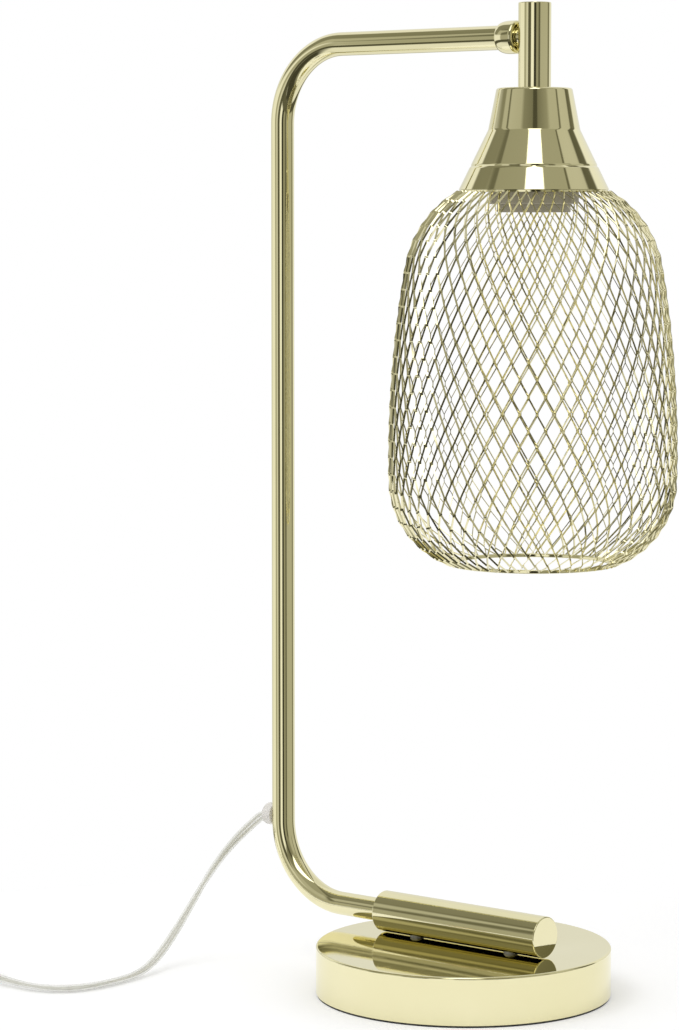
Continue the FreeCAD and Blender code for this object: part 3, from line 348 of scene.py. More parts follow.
def spun(points, steps, upright=True, across=0.0, level=0.0, closed=False):
    """Turns a profile about a line.

    Upright points are (radius, height) about a line at across. Others are (along X, radius)
    about a line at the height level.
    """
    bm = bmesh.new()
    if upright:
        places = [Vector((across + r, 0, z)) * MM for r, z in points]
        centre, axis = Vector((across, 0, 0)) * MM, (0, 0, 1)
    else:
        places = [Vector((x, 0, level + r)) * MM for x, r in points]
        centre, axis = Vector((0, 0, level)) * MM, (1, 0, 0)
    verts = [bm.verts.new(place) for place in places]
    pairs = list(zip(verts, verts[1:])) + ([(verts[-1], verts[0])] if closed else [])
    edges = [bm.edges.new(pair) for pair in pairs]
    bmesh.ops.spin(bm, geom=verts + edges, cent=centre, axis=axis, angle=math.tau, steps=steps,
                   use_merge=True)
    weld(bm)
    return bm


def bevel(bm, geom, size, segments, affect="EDGES"):
    bmesh.ops.bevel(bm, geom=geom, offset=size * MM, affect=affect, segments=segments,
                    profile=0.5, material=-1)


def round_edges(bm, size, segments=3, least=35.0, pick=None):
    """Rounds the edges sharper than least degrees, or those of them that pick accepts."""
    sharp = [e for e in bm.edges
             if len(e.link_faces) == 2 and e.calc_face_angle() > math.radians(least)]
    if pick:
        sharp = [e for e in sharp if pick(e)]
    bevel(bm, sharp, size, segments)
    return bm


def at_height(z):
    return lambda edge: all(abs(v.co.z / MM - z) < NEAR for v in edge.verts)


def at_x(x):
    return lambda edge: all(abs(v.co.x / MM - x) < NEAR for v in edge.verts)


def quarter(step):
    """Angles of a quarter turn, every so many degrees."""
    return [math.radians(a) for a in range(0, 91, step)]


# Base and bar
def base():
    inside = BASE_RADIUS - BASE_WALL
    under = BASE_HEIGHT - BASE_WALL
    shell = spun([(0, BASE_HEIGHT), (BASE_RADIUS, BASE_HEIGHT), (BASE_RADIUS, BASE_LIFT),
                  (inside, BASE_LIFT), (inside, under), (0, under)], steps=192)
    round_edges(shell, BASE_TOP_ROUND, 5, pick=at_height(BASE_HEIGHT))
    round_edges(shell, BASE_FOOT_ROUND, 2, pick=at_height(BASE_LIFT))
    dress("base_cover", shell, [GOLD], "gold_metal", "base_shell")
    # The pad's lip fills the gap under the base's edge with dark rubber: the pad is real, and its
    # reach there is painted shade.
    lip = BASE_LIFT - PAD_GAP
    pad = spun([(0, PAD_HEIGHT), (PAD_RADIUS, PAD_HEIGHT), (PAD_RADIUS, lip), (PAD_SHADE_LIP, lip),
                (PAD_SHADE_LIP, 0), (0, 0)], steps=160)
    round_edges(pad, PAD_ROUND, 2, pick=at_height(0))
    dress("pad", pad, [PAD], "pad", "base_pad")


def bar():
    rod = spun([(-BAR_HALF, 0), (-BAR_HALF, BAR_RADIUS), (BAR_HALF, BAR_RADIUS), (BAR_HALF, 0)],
               upright=False, level=BAR_Z, steps=128)
    dress("thick_bar", round_edges(rod, BAR_ROUND, 4), [GOLD], "gold_metal", "bar")
    both = bmesh.new()
    for x in (-SPACER_X, SPACER_X):
        ring = spun([(SPACER_BORE, SPACER_BOTTOM), (SPACER_RADIUS, SPACER_BOTTOM),
                     (SPACER_RADIUS, SPACER_TOP), (SPACER_BORE, SPACER_TOP)],
                    across=x, steps=48, closed=True)
        round_edges(ring, SPACER_ROUND, 2)
        hold = bpy.data.meshes.new("spacer")
        ring.to_mesh(hold)
        ring.free()
        both.from_mesh(hold)
        bpy.data.meshes.remove(hold)
    dress("nylon_spacers", both, [NYLON], "spacer_nylon", "bar_spacers")


# Post
def post():
    """One bent tube: out of the bar's end, up as the post, and back over the base as the arm."""
    bm = bmesh.new()
    ring = bmesh.ops.create_circle(bm, segments=64, radius=POST_RADIUS * MM,
                                   cap_ends=False)["verts"]
    bmesh.ops.rotate(bm, verts=ring, matrix=Matrix.Rotation(math.pi / 2, 3, "Y"))
    bmesh.ops.translate(bm, verts=ring, vec=Vector((POST_START, 0, BAR_Z)) * MM)
    start = list(bm.edges)

    def run(edges, way, length, pieces):
        for _ in range(pieces):
            _, moved, edges = grow(bm, edges)
            bmesh.ops.translate(bm, verts=moved, vec=Vector(way) * (length / pieces * MM))
        return edges

    def bend(edges, centre):
        verts = list({v for e in edges for v in e.verts})
        last = bmesh.ops.spin(bm, geom=verts + edges, cent=Vector(centre) * MM, axis=(0, 1, 0),
                              angle=math.pi / 2, steps=28)["geom_last"]
        return edges_in(last)

    turn_x = POST_X + POST_BEND
    edges = run(start, (-1, 0, 0), POST_START - turn_x, 2)
    edges = bend(edges, (turn_x, 0, BAR_Z + POST_BEND))
    edges = run(edges, (0, 0, 1), ARM_Z - BAR_Z - 2 * POST_BEND, 8)
    edges = bend(edges, (turn_x, 0, ARM_Z - POST_BEND))
    edges = run(edges, (1, 0, 0), ARM_END - turn_x, 3)
    bmesh.ops.edgeloop_fill(bm, edges=start)
    bmesh.ops.edgeloop_fill(bm, edges=edges)
    weld(bm)
    dress("bent_post", round_edges(bm, POST_ROUND, 2), [GOLD], "gold_metal", "post")


def grommet():
    wall = POST_X - POST_RADIUS
    nose = wall - GROMMET_STAND
    dome = GROMMET_RADIUS - GROMMET_NOSE
    bore = CORD_WIDTH / 2 + GROMMET_GAP
    seat = wall + GROMMET_SEAT
    curve = [(nose + dome - dome * math.sin(t), GROMMET_NOSE + dome * math.cos(t))
             for t in quarter(15)]
    bm = spun([(seat, bore), (seat, GROMMET_RADIUS)] + curve + [(nose, bore)],
              upright=False, level=GROMMET_Z, steps=64, closed=True)
    round_edges(bm, GROMMET_ROUND, 2, 50)
    dress("clear_bush", bm, [CLEAR_BUSH], "clear_plastic", "cord_grommet")


# Head
def collar():
    rise = COLLAR_RADIUS - POST_RADIUS - COLLAR_MOUTH
    mouth = POST_RADIUS + COLLAR_GAP
    cover = COLLAR_START + COLLAR_COVER
    dome = [(COLLAR_START + COLLAR_DOME * (1 - math.cos(t)),
             COLLAR_RADIUS - rise + rise * math.sin(t)) for t in quarter(10)]
    bm = spun([(COLLAR_START, mouth)] + dome + [
        (COLLAR_END, COLLAR_RADIUS), (COLLAR_END, COLLAR_BORE),
        (cover, COLLAR_BORE), (cover, mouth),
    ], upright=False, level=ARM_Z, steps=96, closed=True)
    outer = (COLLAR_RADIUS - 2 * NEAR) * MM

    def at_end(edge):
        radii = [math.hypot(v.co.y, v.co.z - ARM_Z * MM) for v in edge.verts]
        return at_x(COLLAR_END)(edge) and min(radii) > outer
    round_edges(bm, COLLAR_END_ROUND, 6, 50, at_end)
    round_edges(bm, COLLAR_ROUND, 3, 50)
    dress("domed_collar", bm, [GOLD], "gold_metal", "arm_collar")


def head():
    tube = spun([(HEAD_BORE, HEAD_BOTTOM), (HEAD_RADIUS, HEAD_BOTTOM), (HEAD_RADIUS, HEAD_SEAM),
                 (HEAD_BORE, HEAD_SEAM)], across=HEAD_X, steps=96, closed=True)
    dress("upright_tube", tube, [GOLD], "gold_metal", "head_tube")
    low = HEAD_SEAM - SPIGOT_LENGTH
    cap = spun([(0, HEAD_TOP), (HEAD_RADIUS, HEAD_TOP), (HEAD_RADIUS, HEAD_SEAM),
                (SPIGOT_RADIUS, HEAD_SEAM), (SPIGOT_RADIUS, low), (0, low)],
               across=HEAD_X, steps=96)
    round_edges(cap, HEAD_ROUND, 4, pick=at_height(HEAD_TOP))
    dress("end_cap", cap, [GOLD], "gold_metal", "head_cap")


def cone():
    slope = (CONE_RIM_RADIUS - CONE_CREASE_RADIUS) / (CONE_CREASE - CONE_RIM)
    skin = CONE_WALL * math.hypot(1, slope)
    above, below = CONE_GROOVE + GROOVE_HALF, CONE_GROOVE - GROOVE_HALF

    def flank(z):
        return CONE_CREASE_RADIUS + slope * (CONE_CREASE - z)
    bm = spun([
        (CONE_BORE, CONE_TOP), (CONE_TOP_RADIUS, CONE_TOP), (CONE_CREASE_RADIUS, CONE_CREASE),
        (flank(above), above), (flank(CONE_GROOVE) - GROOVE_DEPTH, CONE_GROOVE),
        (flank(below), below), (CONE_RIM_RADIUS, CONE_RIM),
        (CONE_RIM_RADIUS - skin, CONE_RIM), (CONE_CREASE_RADIUS - skin, CONE_CREASE),
        (CONE_TOP_RADIUS - skin, CONE_TOP - CONE_WALL), (CONE_BORE, CONE_TOP - CONE_WALL),
    ], across=HEAD_X, steps=160, closed=True)
    round_edges(bm, CONE_TOP_ROUND, 5, pick=at_height(CONE_TOP))
    round_edges(bm, CONE_RIM_ROUND, 2, pick=at_height(CONE_RIM))
    outer = (CONE_CREASE_RADIUS - CONE_WALL / 4) * MM

    def at_crease(edge):
        radii = [math.hypot(v.co.x - HEAD_X * MM, v.co.y) for v in edge.verts]
        return at_height(CONE_CREASE)(edge) and min(radii) > outer
    round_edges(bm, CONE_CREASE_ROUND, 3, 10, at_crease)
    round_edges(bm, GROOVE_ROUND, 2, 10, at_height(above))
    round_edges(bm, GROOVE_ROUND, 2, 10, at_height(below))
    dress("socket_cone_cover", bm, [GOLD], "gold_metal", "socket_cone")


# Socket
def socket():
    flange = PLATE_TOP + SOCKET_FLANGE_HEIGHT
    ceiling = SOCKET_TOP - SOCKET_CEILING
    body = spun([
        (0, SOCKET_TOP), (SOCKET_NECK, SOCKET_TOP), (SOCKET_NECK, flange), (SOCKET_FLANGE, flange),
        (SOCKET_FLANGE, PLATE_TOP), (SOCKET_SKIRT, PLATE_TOP), (SOCKET_SKIRT, SOCKET_BOTTOM),
        (SOCKET_WELL, SOCKET_BOTTOM), (SOCKET_WELL, ceiling), (0, ceiling),
    ], across=HEAD_X, steps=96)
    round_edges(body, SOCKET_ROUND, 3)
    dress("lamp_holder", body, [SOCKET_SHADED_TONE], "socket_plastic", "socket_body")
    low = PLATE_BOTTOM - RING_HEIGHT
    ring = spun([(RING_BORE, low), (RING_RADIUS, low), (RING_RADIUS, PLATE_BOTTOM),
                 (RING_BORE, PLATE_BOTTOM)], across=HEAD_X, steps=120, closed=True)
    round_edges(ring, RING_ROUND, 3, pick=at_height(low))
    dress("holder_ring", ring, [SOCKET_SHADED_TONE], "socket_plastic", "shade_ring")


def thread():
    """Screw shell: a waved line wound once round while it climbs by one pitch."""
    wave = [(THREAD_RADIUS + THREAD_WAVE - THREAD_WAVE * math.cos(math.tau * k / THREAD_POINTS),
             THREAD_BOTTOM + THREAD_PITCH * k / THREAD_POINTS)
            for k in range(THREAD_POINTS * (THREAD_TURNS - 1) + 1)]
    bm = bmesh.new()
    verts = [bm.verts.new(Vector((HEAD_X + r, 0, z)) * MM) for r, z in wave]
    edges = [bm.edges.new(pair) for pair in zip(verts, verts[1:])]
    bmesh.ops.spin(bm, geom=verts + edges, cent=Vector((HEAD_X, 0, 0)) * MM, axis=(0, 0, 1),
                   angle=math.tau, steps=THREAD_STEPS,
                   dvec=Vector((0, 0, THREAD_PITCH * MM / THREAD_STEPS)))
    weld(bm, THREAD_WELD)
    bmesh.ops.solidify(bm, geom=list(bm.faces), thickness=THREAD_WALL * MM)
    dress("threaded_shell", bm, [BRASS], "contact_brass", "screw_shell")


# Shade
def shade_line():
    """Ridge line of the shade from the bottom hoop up.

    Gives its length, and a function for the radius, height and normal's angle at a distance.
    """
    def inside(angle, radius):
        reach = SHADE_SIDE - radius
        return SHADE_BELLY - SHADE_SIDE + reach * math.cos(angle), reach * math.sin(angle)
    low = inside(SHADE_HEM_TURN, SHADE_HEM)
    high = inside(SHADE_SHOULDER_TURN, SHADE_SHOULDER)
    first = -math.acos((SHADE_BOTTOM_RADIUS - low[0]) / SHADE_HEM)
    last = math.acos((SHADE_TOP_RADIUS - high[0]) / SHADE_SHOULDER)
    belly = SHADE_TOP - high[1] - SHADE_SHOULDER * math.sin(last)
    arcs = [(low, SHADE_HEM, first, SHADE_HEM_TURN),
            ((SHADE_BELLY - SHADE_SIDE, 0), SHADE_SIDE, SHADE_HEM_TURN, SHADE_SHOULDER_TURN),
            (high, SHADE_SHOULDER, SHADE_SHOULDER_TURN, last)]
    lengths = [radius * (end - start) for _, radius, start, end in arcs]

    def at(distance):
        index = 0
        while index < 2 and distance > lengths[index]:
            distance -= lengths[index]
            index += 1
        centre, radius, start, _ = arcs[index]
        angle = start + distance / radius
        return (centre[0] + radius * math.cos(angle),
                belly + centre[1] + radius * math.sin(angle), angle)
    return sum(lengths), at


def strand(bm, hand):
    """One strip that climbs the shade in a zigzag.

    It runs beside its neighbour at each node and slants between. All strips lean over the same
    way, as in a slit and stretched sheet, so that the mesh shows its faces on one side and its
    edges on the other. At a node the two strips lie edge to edge in the leaning plane.
    """
    length, at = shade_line()
    step = length / SHADE_ROWS
    half_column = math.pi / SHADE_COLUMNS
    bond = STRAND_BOND / 2
    across_node = STRAND_WIDTH / 2 * math.cos(STRAND_LEAN)
    into_node = STRAND_WIDTH / 2 * math.sin(STRAND_LEAN)
    below_ridge = 2 * into_node + STRAND_DEPTH / 2 * math.cos(STRAND_LEAN)

    def spot(distance):
        radius, z, angle = at(min(max(distance, 0), length))
        row = round(distance / step)
        past = distance - row * step
        slant = max(abs(past) - bond, 0) / (step / 2 - bond) / 2
        beside = across_node / radius
        side = 1 if row % 2 == 0 else -1
        turn = half_column * (row % 2) + side * (beside + slant * (half_column - 2 * beside))
        turn *= hand
        depth = below_ridge + into_node * side * hand * (1 - 2 * slant)
        across = radius - depth * math.cos(angle)
        place = Vector((HEAD_X + across * math.cos(turn), across * math.sin(turn),
                        z - depth * math.sin(angle)))
        out = Vector((math.cos(angle) * math.cos(turn), math.cos(angle) * math.sin(turn),
                      math.sin(angle)))
        return place * MM, out

    def frame_at(distance):
        place, out = spot(distance)
        ahead = spot(distance + STRAND_REACH)[0] - spot(distance - STRAND_REACH)[0]
        ahead = ahead.normalized()
        side = ahead.cross(out).normalized()
        out = side.cross(ahead)
        lean = Matrix.Rotation(-STRAND_LEAN, 3, "Z")
        matrix = (Matrix((side, out, ahead)).transposed() @ lean).to_4x4()
        matrix.translation = place
        return matrix

    half, deep = STRAND_WIDTH / 2 * MM, STRAND_DEPTH / 2 * MM
    corners = ((half, -deep), (half, deep), (-half, deep), (-half, -deep))
    ring = [bm.verts.new((x, y, 0)) for x, y in corners]
    edges = [bm.edges.new(pair) for pair in zip(ring, ring[1:] + ring[:1])]
    cap = bm.faces.new(ring)
    here = frame_at(0)
    bmesh.ops.transform(bm, matrix=here, verts=ring)
    made = [cap] + edges + ring
    stops = [row * step + place for row in range(SHADE_ROWS) for place in (bond, step - bond)]
    for distance in stops + [length]:
        grown, moved, edges = grow(bm, edges)
        there = frame_at(distance)
        bmesh.ops.transform(bm, matrix=there @ here.inverted(), verts=moved)
        made += grown
        here = there
    made += bmesh.ops.edgeloop_fill(bm, edges=edges)["faces"]
    return made


def shade():
    copies = SHADE_COLUMNS - 1
    for hand, name in ((1, "mesh_right"), (-1, "mesh_left")):
        bm = bmesh.new()
        made = strand(bm, hand)
        bmesh.ops.recalc_face_normals(bm, faces=bm.faces)
        bmesh.ops.spin(bm, geom=made, cent=Vector((HEAD_X, 0, 0)) * MM, axis=(0, 0, 1),
                       angle=math.tau * copies / SHADE_COLUMNS, steps=copies, use_duplicate=True)
        dress(name, bm, [MESH_GOLD], "gold_metal", "shade_cage")
    rim = spun([(RIM_INNER, RIM_LOW), (RIM_OUTER, RIM_LOW), (RIM_OUTER, RIM_HIGH),
                (RIM_INNER, RIM_HIGH)], across=HEAD_X, steps=160, closed=True)
    dress("bottom_hoop", round_edges(rim, RIM_ROUND, 3), [GOLD], "gold_metal", "shade_rim")


# Fittings at the cord's far end
def plug():
    """Moulded plug: rounded body, a neck that narrows to the cord, and ribbed side grips."""
    bm = bmesh.new()
    bmesh.ops.create_cube(bm, size=1.0)
    length = PLUG_FRONT - PLUG_SHOULDER
    middle = Vector((PLUG_SHOULDER + length / 2, PLUG_Y, PLUG_Z)) * MM
    bmesh.ops.scale(bm, verts=bm.verts, vec=Vector((length, PLUG_WIDTH, PLUG_HEIGHT)) * MM)
    bmesh.ops.translate(bm, verts=bm.verts, vec=middle)
    along = [e for e in bm.edges if abs(e.verts[0].co.x - e.verts[1].co.x) > MM]
    bevel(bm, along, PLUG_SIDE_ROUND, 6)
    back = min(bm.faces, key=lambda face: face.calc_center_median().x)
    neck = list(bmesh.ops.extrude_discrete_faces(bm, faces=[back])["faces"][0].verts)
    centre = Matrix.Translation(Vector((PLUG_SHOULDER, PLUG_Y, PLUG_Z)) * MM)
    shrink = Matrix.Diagonal((1, PLUG_NECK_WIDTH / PLUG_WIDTH, PLUG_NECK_HEIGHT / PLUG_HEIGHT, 1))
    pull = Matrix.Translation(Vector((PLUG_BACK - PLUG_SHOULDER, 0, 0)) * MM)
    bmesh.ops.transform(bm, matrix=pull @ centre @ shrink @ centre.inverted(), verts=neck)
    round_edges(bm, PLUG_END_ROUND, 4, 35,
                lambda edge: at_x(PLUG_FRONT)(edge) or at_x(PLUG_BACK)(edge))
    round_edges(bm, PLUG_SHOULDER_ROUND, 4, 15, at_x(PLUG_SHOULDER))
    for index in range(PLUG_RIBS + 1):
        cut = Vector((PLUG_RIB_START + index * PLUG_RIB_STEP, 0, 0)) * MM
        bmesh.ops.bisect_plane(bm, geom=list(bm.verts) + list(bm.edges) + list(bm.faces),
                               plane_co=cut, plane_no=(1, 0, 0))
    last = PLUG_RIB_START + PLUG_RIBS * PLUG_RIB_STEP
    grips = [face for face in bm.faces if abs(face.normal.y) > 0.99
             and PLUG_RIB_START < face.calc_center_median().x / MM < last]
    bmesh.ops.inset_individual(bm, faces=grips, thickness=PLUG_RIB_EDGE * MM,
                               depth=-PLUG_RIB_DEPTH * MM)
    bmesh.ops.recalc_face_normals(bm, faces=bm.faces)
    return dress("moulded_plug", bm, [FITTING], "fitting_plastic", "plug_body")


def coil_tie():
    """Strap round the turns of the coil, with soft corners."""
    bm = bmesh.new()
    corners = [(TIE_NEAR_X, 0), (TIE_FAR_X, 0), (TIE_FAR_X, TIE_TOP), (TIE_NEAR_X, TIE_TOP)]
    near_y = TIE_Y - TIE_WIDTH / 2
    side = bm.faces.new([bm.verts.new(Vector((x, near_y, z)) * MM) for x, z in corners])
    bevel(bm, list(side.verts), TIE_CORNER, 6, affect="VERTICES")
    outline = bm.faces[:]
    wall = bmesh.ops.inset_individual(bm, faces=outline, thickness=TIE_WALL * MM,
                                      use_even_offset=True)["faces"]
    bmesh.ops.delete(bm, geom=outline, context="FACES")
    grown = bmesh.ops.extrude_face_region(bm, geom=wall, use_keep_orig=True)["geom"]
    bmesh.ops.translate(bm, verts=verts_in(grown), vec=Vector((0, TIE_WIDTH * MM, 0)))
    bmesh.ops.recalc_face_normals(bm, faces=bm.faces)
    round_edges(bm, TIE_ROUND, 2, 50)
    return dress("coil_strap", bm, [STRAP], "tie_plastic", "cord_tie")


# Cord: the solid model's route, and how far the flat section is turned at each point, in degrees
LEAD_ROUTE = [
    (-123, 0, 77.75), (-133, 0, 77.75), (-140, -3, 71), (-148, -11, 60), (-153, -22, 46),
    (-157, -38, 24), (-156, -56, 8.5), (-150, -78, 2.3), (-148, -102, 2.2), (-151, -124, 2.2),
    (-165, -136.5, 2.4), (-187, -137.5, 3.0), (-202, -137, 4.2), (-211, -137, 4.2),
]
LEAD_TILT = [80, 80, 75, 60, 40, 10, 0, 10, 20, 30, 20, 10, 0, 0]
MIDDLE_ROUTE = [(-251, -137, 4.2), (-269, -137, 3.9), (-283, -152, 3.4), (-286, -173, 3.4)]
MIDDLE_TILT = [0, 0, 35, 75]
COIL_CENTRE, COIL_OUTER, COIL_PITCH, COIL_LOW = (-247.3, -192.0), 38.7, 5.7, 3.4
COIL_TURNS, COIL_CLIMB_TURNS, COIL_POINTS, COIL_TILT = 8.25, 0.5, 24, 90
TAIL_ROUTE = [(-230.3, -230.7, 9.1), (-210, -230, 8), (-191, -230, 8)]
TAIL_TILT = [60, 20, 0]


def coil_route():
    """Winds inwards on the floor, climbs one layer half way, and winds out again on top."""
    steps = int(COIL_TURNS * COIL_POINTS)
    points = []
    for index in range(steps + 1):
        turns = COIL_TURNS * index / steps
        radius = COIL_OUTER - COIL_PITCH * min(turns, COIL_TURNS - turns)
        climb = min(max((turns - COIL_TURNS / 2) / COIL_CLIMB_TURNS + 0.5, 0), 1)
        angle = math.pi + math.tau * turns
        points.append((COIL_CENTRE[0] + radius * math.cos(angle),
                       COIL_CENTRE[1] + radius * math.sin(angle),
                       COIL_LOW + COIL_PITCH * climb * climb * (3 - 2 * climb)))
    return points


def section_curve(name, splines):
    curve = bpy.data.curves.new(name, "CURVE")
    for points in splines:
        spline = curve.splines.new("POLY")
        spline.points.add(len(points) - 1)
        for point, (x, y) in zip(spline.points, points):
            point.co = (x * MM, y * MM, 0, 1)
        spline.use_cyclic_u = True
    return new_object(name, curve)


def cord_sections():
    """Outline of the flat jacket, waisted between its two lobes, and of the two cores in it."""
    lobe = CORD_THICK / 2
    offset = CORD_WIDTH / 2 - lobe
    waist = CORD_WAIST * lobe
    right = [(offset + lobe * math.cos(t), lobe * math.sin(t))
             for t in [math.radians(a) for a in range(-75, 76, 25)]]
    left = [(-x, -y) for x, y in right]
    jacket = section_curve("jacket_shape", [right + [(0, waist)] + left + [(0, -waist)]])
    ring = [math.tau * k / 10 for k in range(10)]
    cores = section_curve("core_shape", [
        [(x + CORD_CORE * math.cos(t), CORD_CORE * math.sin(t)) for t in ring]
        for x in (offset, -offset)])
    return jacket, cores


def cord():
    coil = coil_route()
    route = LEAD_ROUTE + MIDDLE_ROUTE + coil + TAIL_ROUTE
    tilts = LEAD_TILT + MIDDLE_TILT + [COIL_TILT] * len(coil) + TAIL_TILT
    curve = bpy.data.curves.new("cord_line", "CURVE")
    curve.dimensions = "3D"
    curve.twist_mode = "Z_UP"
    curve.resolution_u = 5
    curve.use_fill_caps = True
    spline = curve.splines.new("NURBS")
    spline.points.add(len(route) - 1)
    for point, place, tilt in zip(spline.points, route, tilts):
        point.co = (*[c * MM for c in place], 1)
        point.tilt = math.radians(tilt)
    spline.order_u = 3
    spline.use_endpoint_u = True
    line = new_object("cord_line", curve)
    shapes = cord_sections()

    def mesh_of(shape):
        curve.bevel_mode = "OBJECT" if shape else "ROUND"
        curve.bevel_object = shape
        bpy.context.view_layer.update()
        graph = bpy.context.evaluated_depsgraph_get()
        return bpy.data.meshes.new_from_object(line.evaluated_get(graph))
    path = [tuple(v.co) for v in mesh_of(None).vertices]
    bm = bmesh.new()
    for index, shape in enumerate(shapes):
        mesh = mesh_of(shape)
        first = len(bm.faces)
        bm.from_mesh(mesh)
        bm.faces.ensure_lookup_table()
        for face in bm.faces[first:]:
            face.material_index = index
        bpy.data.meshes.remove(mesh)
    bmesh.ops.recalc_face_normals(bm, faces=bm.faces)
    for helper in (line, *shapes):
        bpy.data.objects.remove(helper)
    piece = dress("flat_cord", bm, [CLEAR, STRANDS], "clear_plastic",
                  "cord_lead", "cord_middle", "cord_coil", "cord_tail")
    on_cord = [plug(), coil_tie()]
    on_cord += [nodes[n] for n in ("switch_lower_shell", "switch_upper_shell", "switch_rocker",
                                   "switch_contacts", "switch_screws", "plug_blades")]


# Solids that keep their own shape and take a finish
KEPT = {
    "base_weight": IRON, "base_screws": STEEL, "base_screw_washers": STEEL,
    "post_set_screw": STEEL, "inner_leads": INSULATION, "arm_stud": GOLD, "nipple": STEEL,
    "nut_washer": STEEL, "nipple_nut": STEEL, "socket_cap": SOCKET_SHADED_TONE, "centre_contact": BRASS,
    "terminal_blocks": BRASS, "terminal_screws": STEEL, "shade_plate": GOLD,
    "switch_lower_shell": FITTING, "switch_upper_shell": FITTING, "switch_rocker": FITTING,
    "switch_contacts": BRASS, "switch_screws": STEEL, "plug_blades": BRASS,
}


def dress_kept():
    for name, material in KEPT.items():
        mesh = nodes[name].data
        mesh.materials.clear()
        mesh.materials.append(material)


# Camera: where it stands, in metres and as an angle round the base's axis, and where it looks
CAMERA_TURN, CAMERA_FAR, CAMERA_HEIGHT = math.radians(37.47), 1.700, 0.39809
CAMERA_PAN, CAMERA_PITCH = math.radians(2.12), math.radians(5.18)
CAMERA_SENSOR, CAMERA_LENS = 36.0, 118.74


def camera():
    data = bpy.data.cameras.new("view")
    data.sensor_width = CAMERA_SENSOR
    data.lens = CAMERA_LENS
    data.clip_end = 20.0
    eye = new_object("view", data)
    bearing = CAMERA_TURN + CAMERA_PAN
    ahead = Vector((-math.sin(bearing) * math.cos(CAMERA_PITCH),
                    math.cos(bearing) * math.cos(CAMERA_PITCH), -math.sin(CAMERA_PITCH)))
    right = Vector((math.cos(bearing), math.sin(bearing), 0))
    up = right.cross(ahead)
    matrix = Matrix((right, up, -ahead)).transposed().to_4x4()
    matrix.translation = (math.sin(CAMERA_TURN) * CAMERA_FAR, -math.cos(CAMERA_TURN) * CAMERA_FAR,
                          CAMERA_HEIGHT)
    eye.matrix_world = matrix
    bpy.context.scene.camera = eye


# Studio that the polish reflects: brightness in five bands of height, by the angle from the
# camera towards the picture's right, in degrees, and the brightness straight below
FLOOR_FAR = [(-180, 0.9), (-84, 0.9), (-70, 0.06), (70, 0.06), (84, 0.9), (180, 0.9)]
FLOOR_EDGE = [
    (-180, 0.5), (-140, 0.10), (-50, 0.08), (-20, 0.12), (20, 0.12), (50, 0.08), (140, 0.10),
    (180, 0.5),
]
LOW_WALL = [
    (-180, 0.78), (-121, 0.78), (-118, 0.95), (-80, 0.95), (-77, 0.42), (-64, 0.42), (-61, 0.72),
    (-49, 0.72), (-46, 0.10), (-28, 0.12), (-25, 1.0), (-8, 1.0), (-5, 0.04), (8, 0.04),
    (11, 0.34), (24, 0.34), (27, 0.12), (36, 0.12), (40, 0.48), (100, 0.50), (104, 0.22),
    (120, 0.22), (124, 0.92), (180, 0.80),
]
MIDDLE_WALL = [
    (-180, 0.85), (-126, 0.95), (-122, 0.24), (-96, 0.26), (-92, 0.50), (-80, 0.50), (-78, 0.16),
    (-75, 0.16), (-72, 0.52), (-38, 0.48), (-30, 0.26), (-6, 0.20), (-4, 0.08), (6, 0.08),
    (8, 0.20), (34, 0.32), (42, 0.50), (66, 0.50), (68, 0.16), (71, 0.16), (74, 0.58),
    (102, 0.56), (106, 0.12), (122, 0.14), (127, 0.95), (180, 0.85),
]
HIGH_WALL = [
    (-180, 0.90), (-138, 0.90), (-132, 0.26), (-92, 0.24), (-86, 0.16), (-80, 0.16), (-77, 0.36),
    (-20, 0.38), (-18, 2.2), (18, 2.2), (20, 0.40), (65, 0.40), (66, 0.16), (69, 0.16),
    (71, 0.58), (105, 0.60), (108, 1.0), (111, 1.0), (113, 0.14), (124, 0.16), (129, 0.80),
    (180, 0.80),
]
FLOOR_UNDER = 0.42
# Where one band gives way to the next: sine of the angle above the horizon, and then below it
LOW_TO_MIDDLE, MIDDLE_TO_HIGH = (0.17, 0.27), (0.55, 0.63)
WALL_TO_EDGE, EDGE_TO_FAR, FAR_TO_UNDER = (0.20, 0.25), (0.42, 0.48), (0.76, 0.88)
SOFT_LIGHT = (0.82, 0.82, 0.82, 1)
BLACK, WHITE = (0, 0, 0, 1), (1, 1, 1, 1)


def warm(value):
    """Dark panels are a warm grey, pale ones near white."""
    pale = min(value * 1.15, 1)
    green, blue = 0.97 + 0.03 * pale, 0.62 + 0.36 * pale
    return (value, value * green, value * blue, 1)


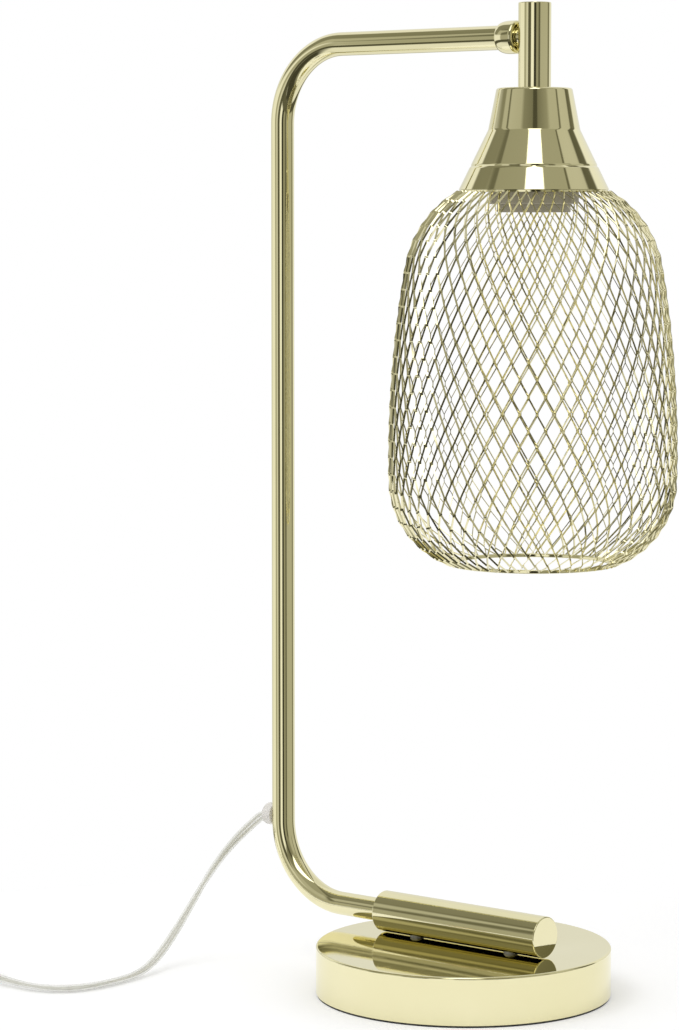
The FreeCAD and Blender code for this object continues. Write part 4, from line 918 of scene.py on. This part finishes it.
def world():
    """White behind the lamp, soft light on it, and pale and dark panels in its polish."""
    scene_world = bpy.data.worlds.new("studio")
    bpy.context.scene.world = scene_world
    scene_world.use_nodes = True
    tree = scene_world.node_tree
    tree.nodes.clear()
    out = add(tree, "ShaderNodeOutputWorld")
    rays = add(tree, "ShaderNodeLightPath").outputs
    way = add(tree, "ShaderNodeTexCoord").outputs["Generated"]

    def along(vector):
        dot = add(tree, "ShaderNodeVectorMath", operation="DOT_PRODUCT")
        dot.inputs[1].default_value = vector
        tree.links.new(way, dot.inputs[0])
        return dot.outputs["Value"]

    def ramp(factor, stops):
        node = add(tree, "ShaderNodeValToRGB")
        bands = node.color_ramp
        bands.elements.remove(bands.elements[1])
        for index, (place, colour) in enumerate(stops):
            stop = bands.elements[0] if index == 0 else bands.elements.new(place)
            stop.position = place
            stop.color = colour
        tree.links.new(factor, node.inputs["Fac"])
        return node.outputs["Color"]

    def mask(factor, rise, fall=()):
        """White from the rise on, or up to the fall."""
        stops = [(0.0, BLACK), *zip(rise, (BLACK, WHITE)), *zip(fall, (WHITE, BLACK))]
        return ramp(factor, stops)

    def over(cover, below, above):
        return mixed(tree, cover, below, above)
    to_camera = (math.sin(CAMERA_TURN), -math.cos(CAMERA_TURN), 0)
    to_right = (math.cos(CAMERA_TURN), math.sin(CAMERA_TURN), 0)
    angle = maths(tree, "ARCTAN2", along(to_right), along(to_camera))
    turn = maths(tree, "ADD", maths(tree, "DIVIDE", angle, math.tau), 0.5)
    far, edge, low, middle, high = [
        ramp(turn, [((a + 180) / 360, warm(v)) for a, v in wall])
        for wall in (FLOOR_FAR, FLOOR_EDGE, LOW_WALL, MIDDLE_WALL, HIGH_WALL)]
    height = along((0, 0, 1))
    depth = maths(tree, "MULTIPLY", height, -1)
    surround = over(mask(height, LOW_TO_MIDDLE), low, middle)
    surround = over(mask(height, MIDDLE_TO_HIGH), surround, high)
    surround = over(mask(depth, WALL_TO_EDGE, EDGE_TO_FAR), surround, edge)
    surround = over(mask(depth, EDGE_TO_FAR), surround, far)
    surround = over(mask(depth, FAR_TO_UNDER), surround, warm(FLOOR_UNDER))
    plain = maths(tree, "MAXIMUM", rays["Is Camera Ray"], rays["Is Transmission Ray"])
    seen = over(plain, SOFT_LIGHT, WHITE)
    background = add(tree, "ShaderNodeBackground")
    tree.links.new(over(rays["Is Glossy Ray"], seen, surround), background.inputs["Color"])
    tree.links.new(background.outputs[0], out.inputs["Surface"])


# Floor: a pale oval round the lamp, in metres from the base's axis and turned with the camera
FLOOR_SHIFT, FLOOR_RADII = (-0.075, 0.045, 0), (0.35, 0.24, 1, 1)
FLOOR_TONE, FLOOR_GLOW = (0.86, 0.86, 0.86, 1), 0.22


def floor():
    bm = bmesh.new()
    bmesh.ops.create_circle(bm, cap_ends=True, segments=128, radius=1.0)
    mesh = bpy.data.meshes.new("floor")
    bm.to_mesh(mesh)
    bm.free()
    mesh.transform(Matrix.Rotation(CAMERA_TURN, 4, "Z") @ Matrix.Translation(FLOOR_SHIFT)
                   @ Matrix.Diagonal(FLOOR_RADII))
    ground = new_object("floor", mesh)
    material, tree, shader = new_material("pale_floor")
    shader.inputs["Base Color"].default_value = FLOOR_TONE
    shader.inputs["Roughness"].default_value = 0.9
    shader.inputs["Specular IOR Level"].default_value = 0.0
    rays = add(tree, "ShaderNodeLightPath").outputs
    plain = maths(tree, "MAXIMUM", rays["Is Camera Ray"], rays["Is Glossy Ray"])
    shader.inputs["Emission Color"].default_value = WHITE
    feed(tree, maths(tree, "MULTIPLY", plain, FLOOR_GLOW), shader.inputs["Emission Strength"])
    mesh.materials.append(material)


# Softbox above and in front: its size, power in watts, place and the point that it faces
SOFTBOX_WIDTH, SOFTBOX_DEPTH, SOFTBOX_POWER = 1.4, 1.0, 9.0
SOFTBOX_PLACE, SOFTBOX_AIM = Vector((-0.3, -1.1, 1.9)), Vector((0, 0, 0.2))


def lights():
    data = bpy.data.lights.new("softbox", "AREA")
    data.shape = "RECTANGLE"
    data.size, data.size_y = SOFTBOX_WIDTH, SOFTBOX_DEPTH
    data.energy = SOFTBOX_POWER
    softbox = new_object("softbox", data)
    softbox.location = SOFTBOX_PLACE
    softbox.rotation_euler = (SOFTBOX_AIM - SOFTBOX_PLACE).to_track_quat("-Z", "Y").to_euler()
    softbox.visible_glossy = False


base()
bar()
post()
grommet()
collar()
head()
cone()
socket()
thread()
shade()
cord()
dress_kept()
camera()
world()
floor()
lights()
bpy.context.scene.view_settings.view_transform = "Standard"
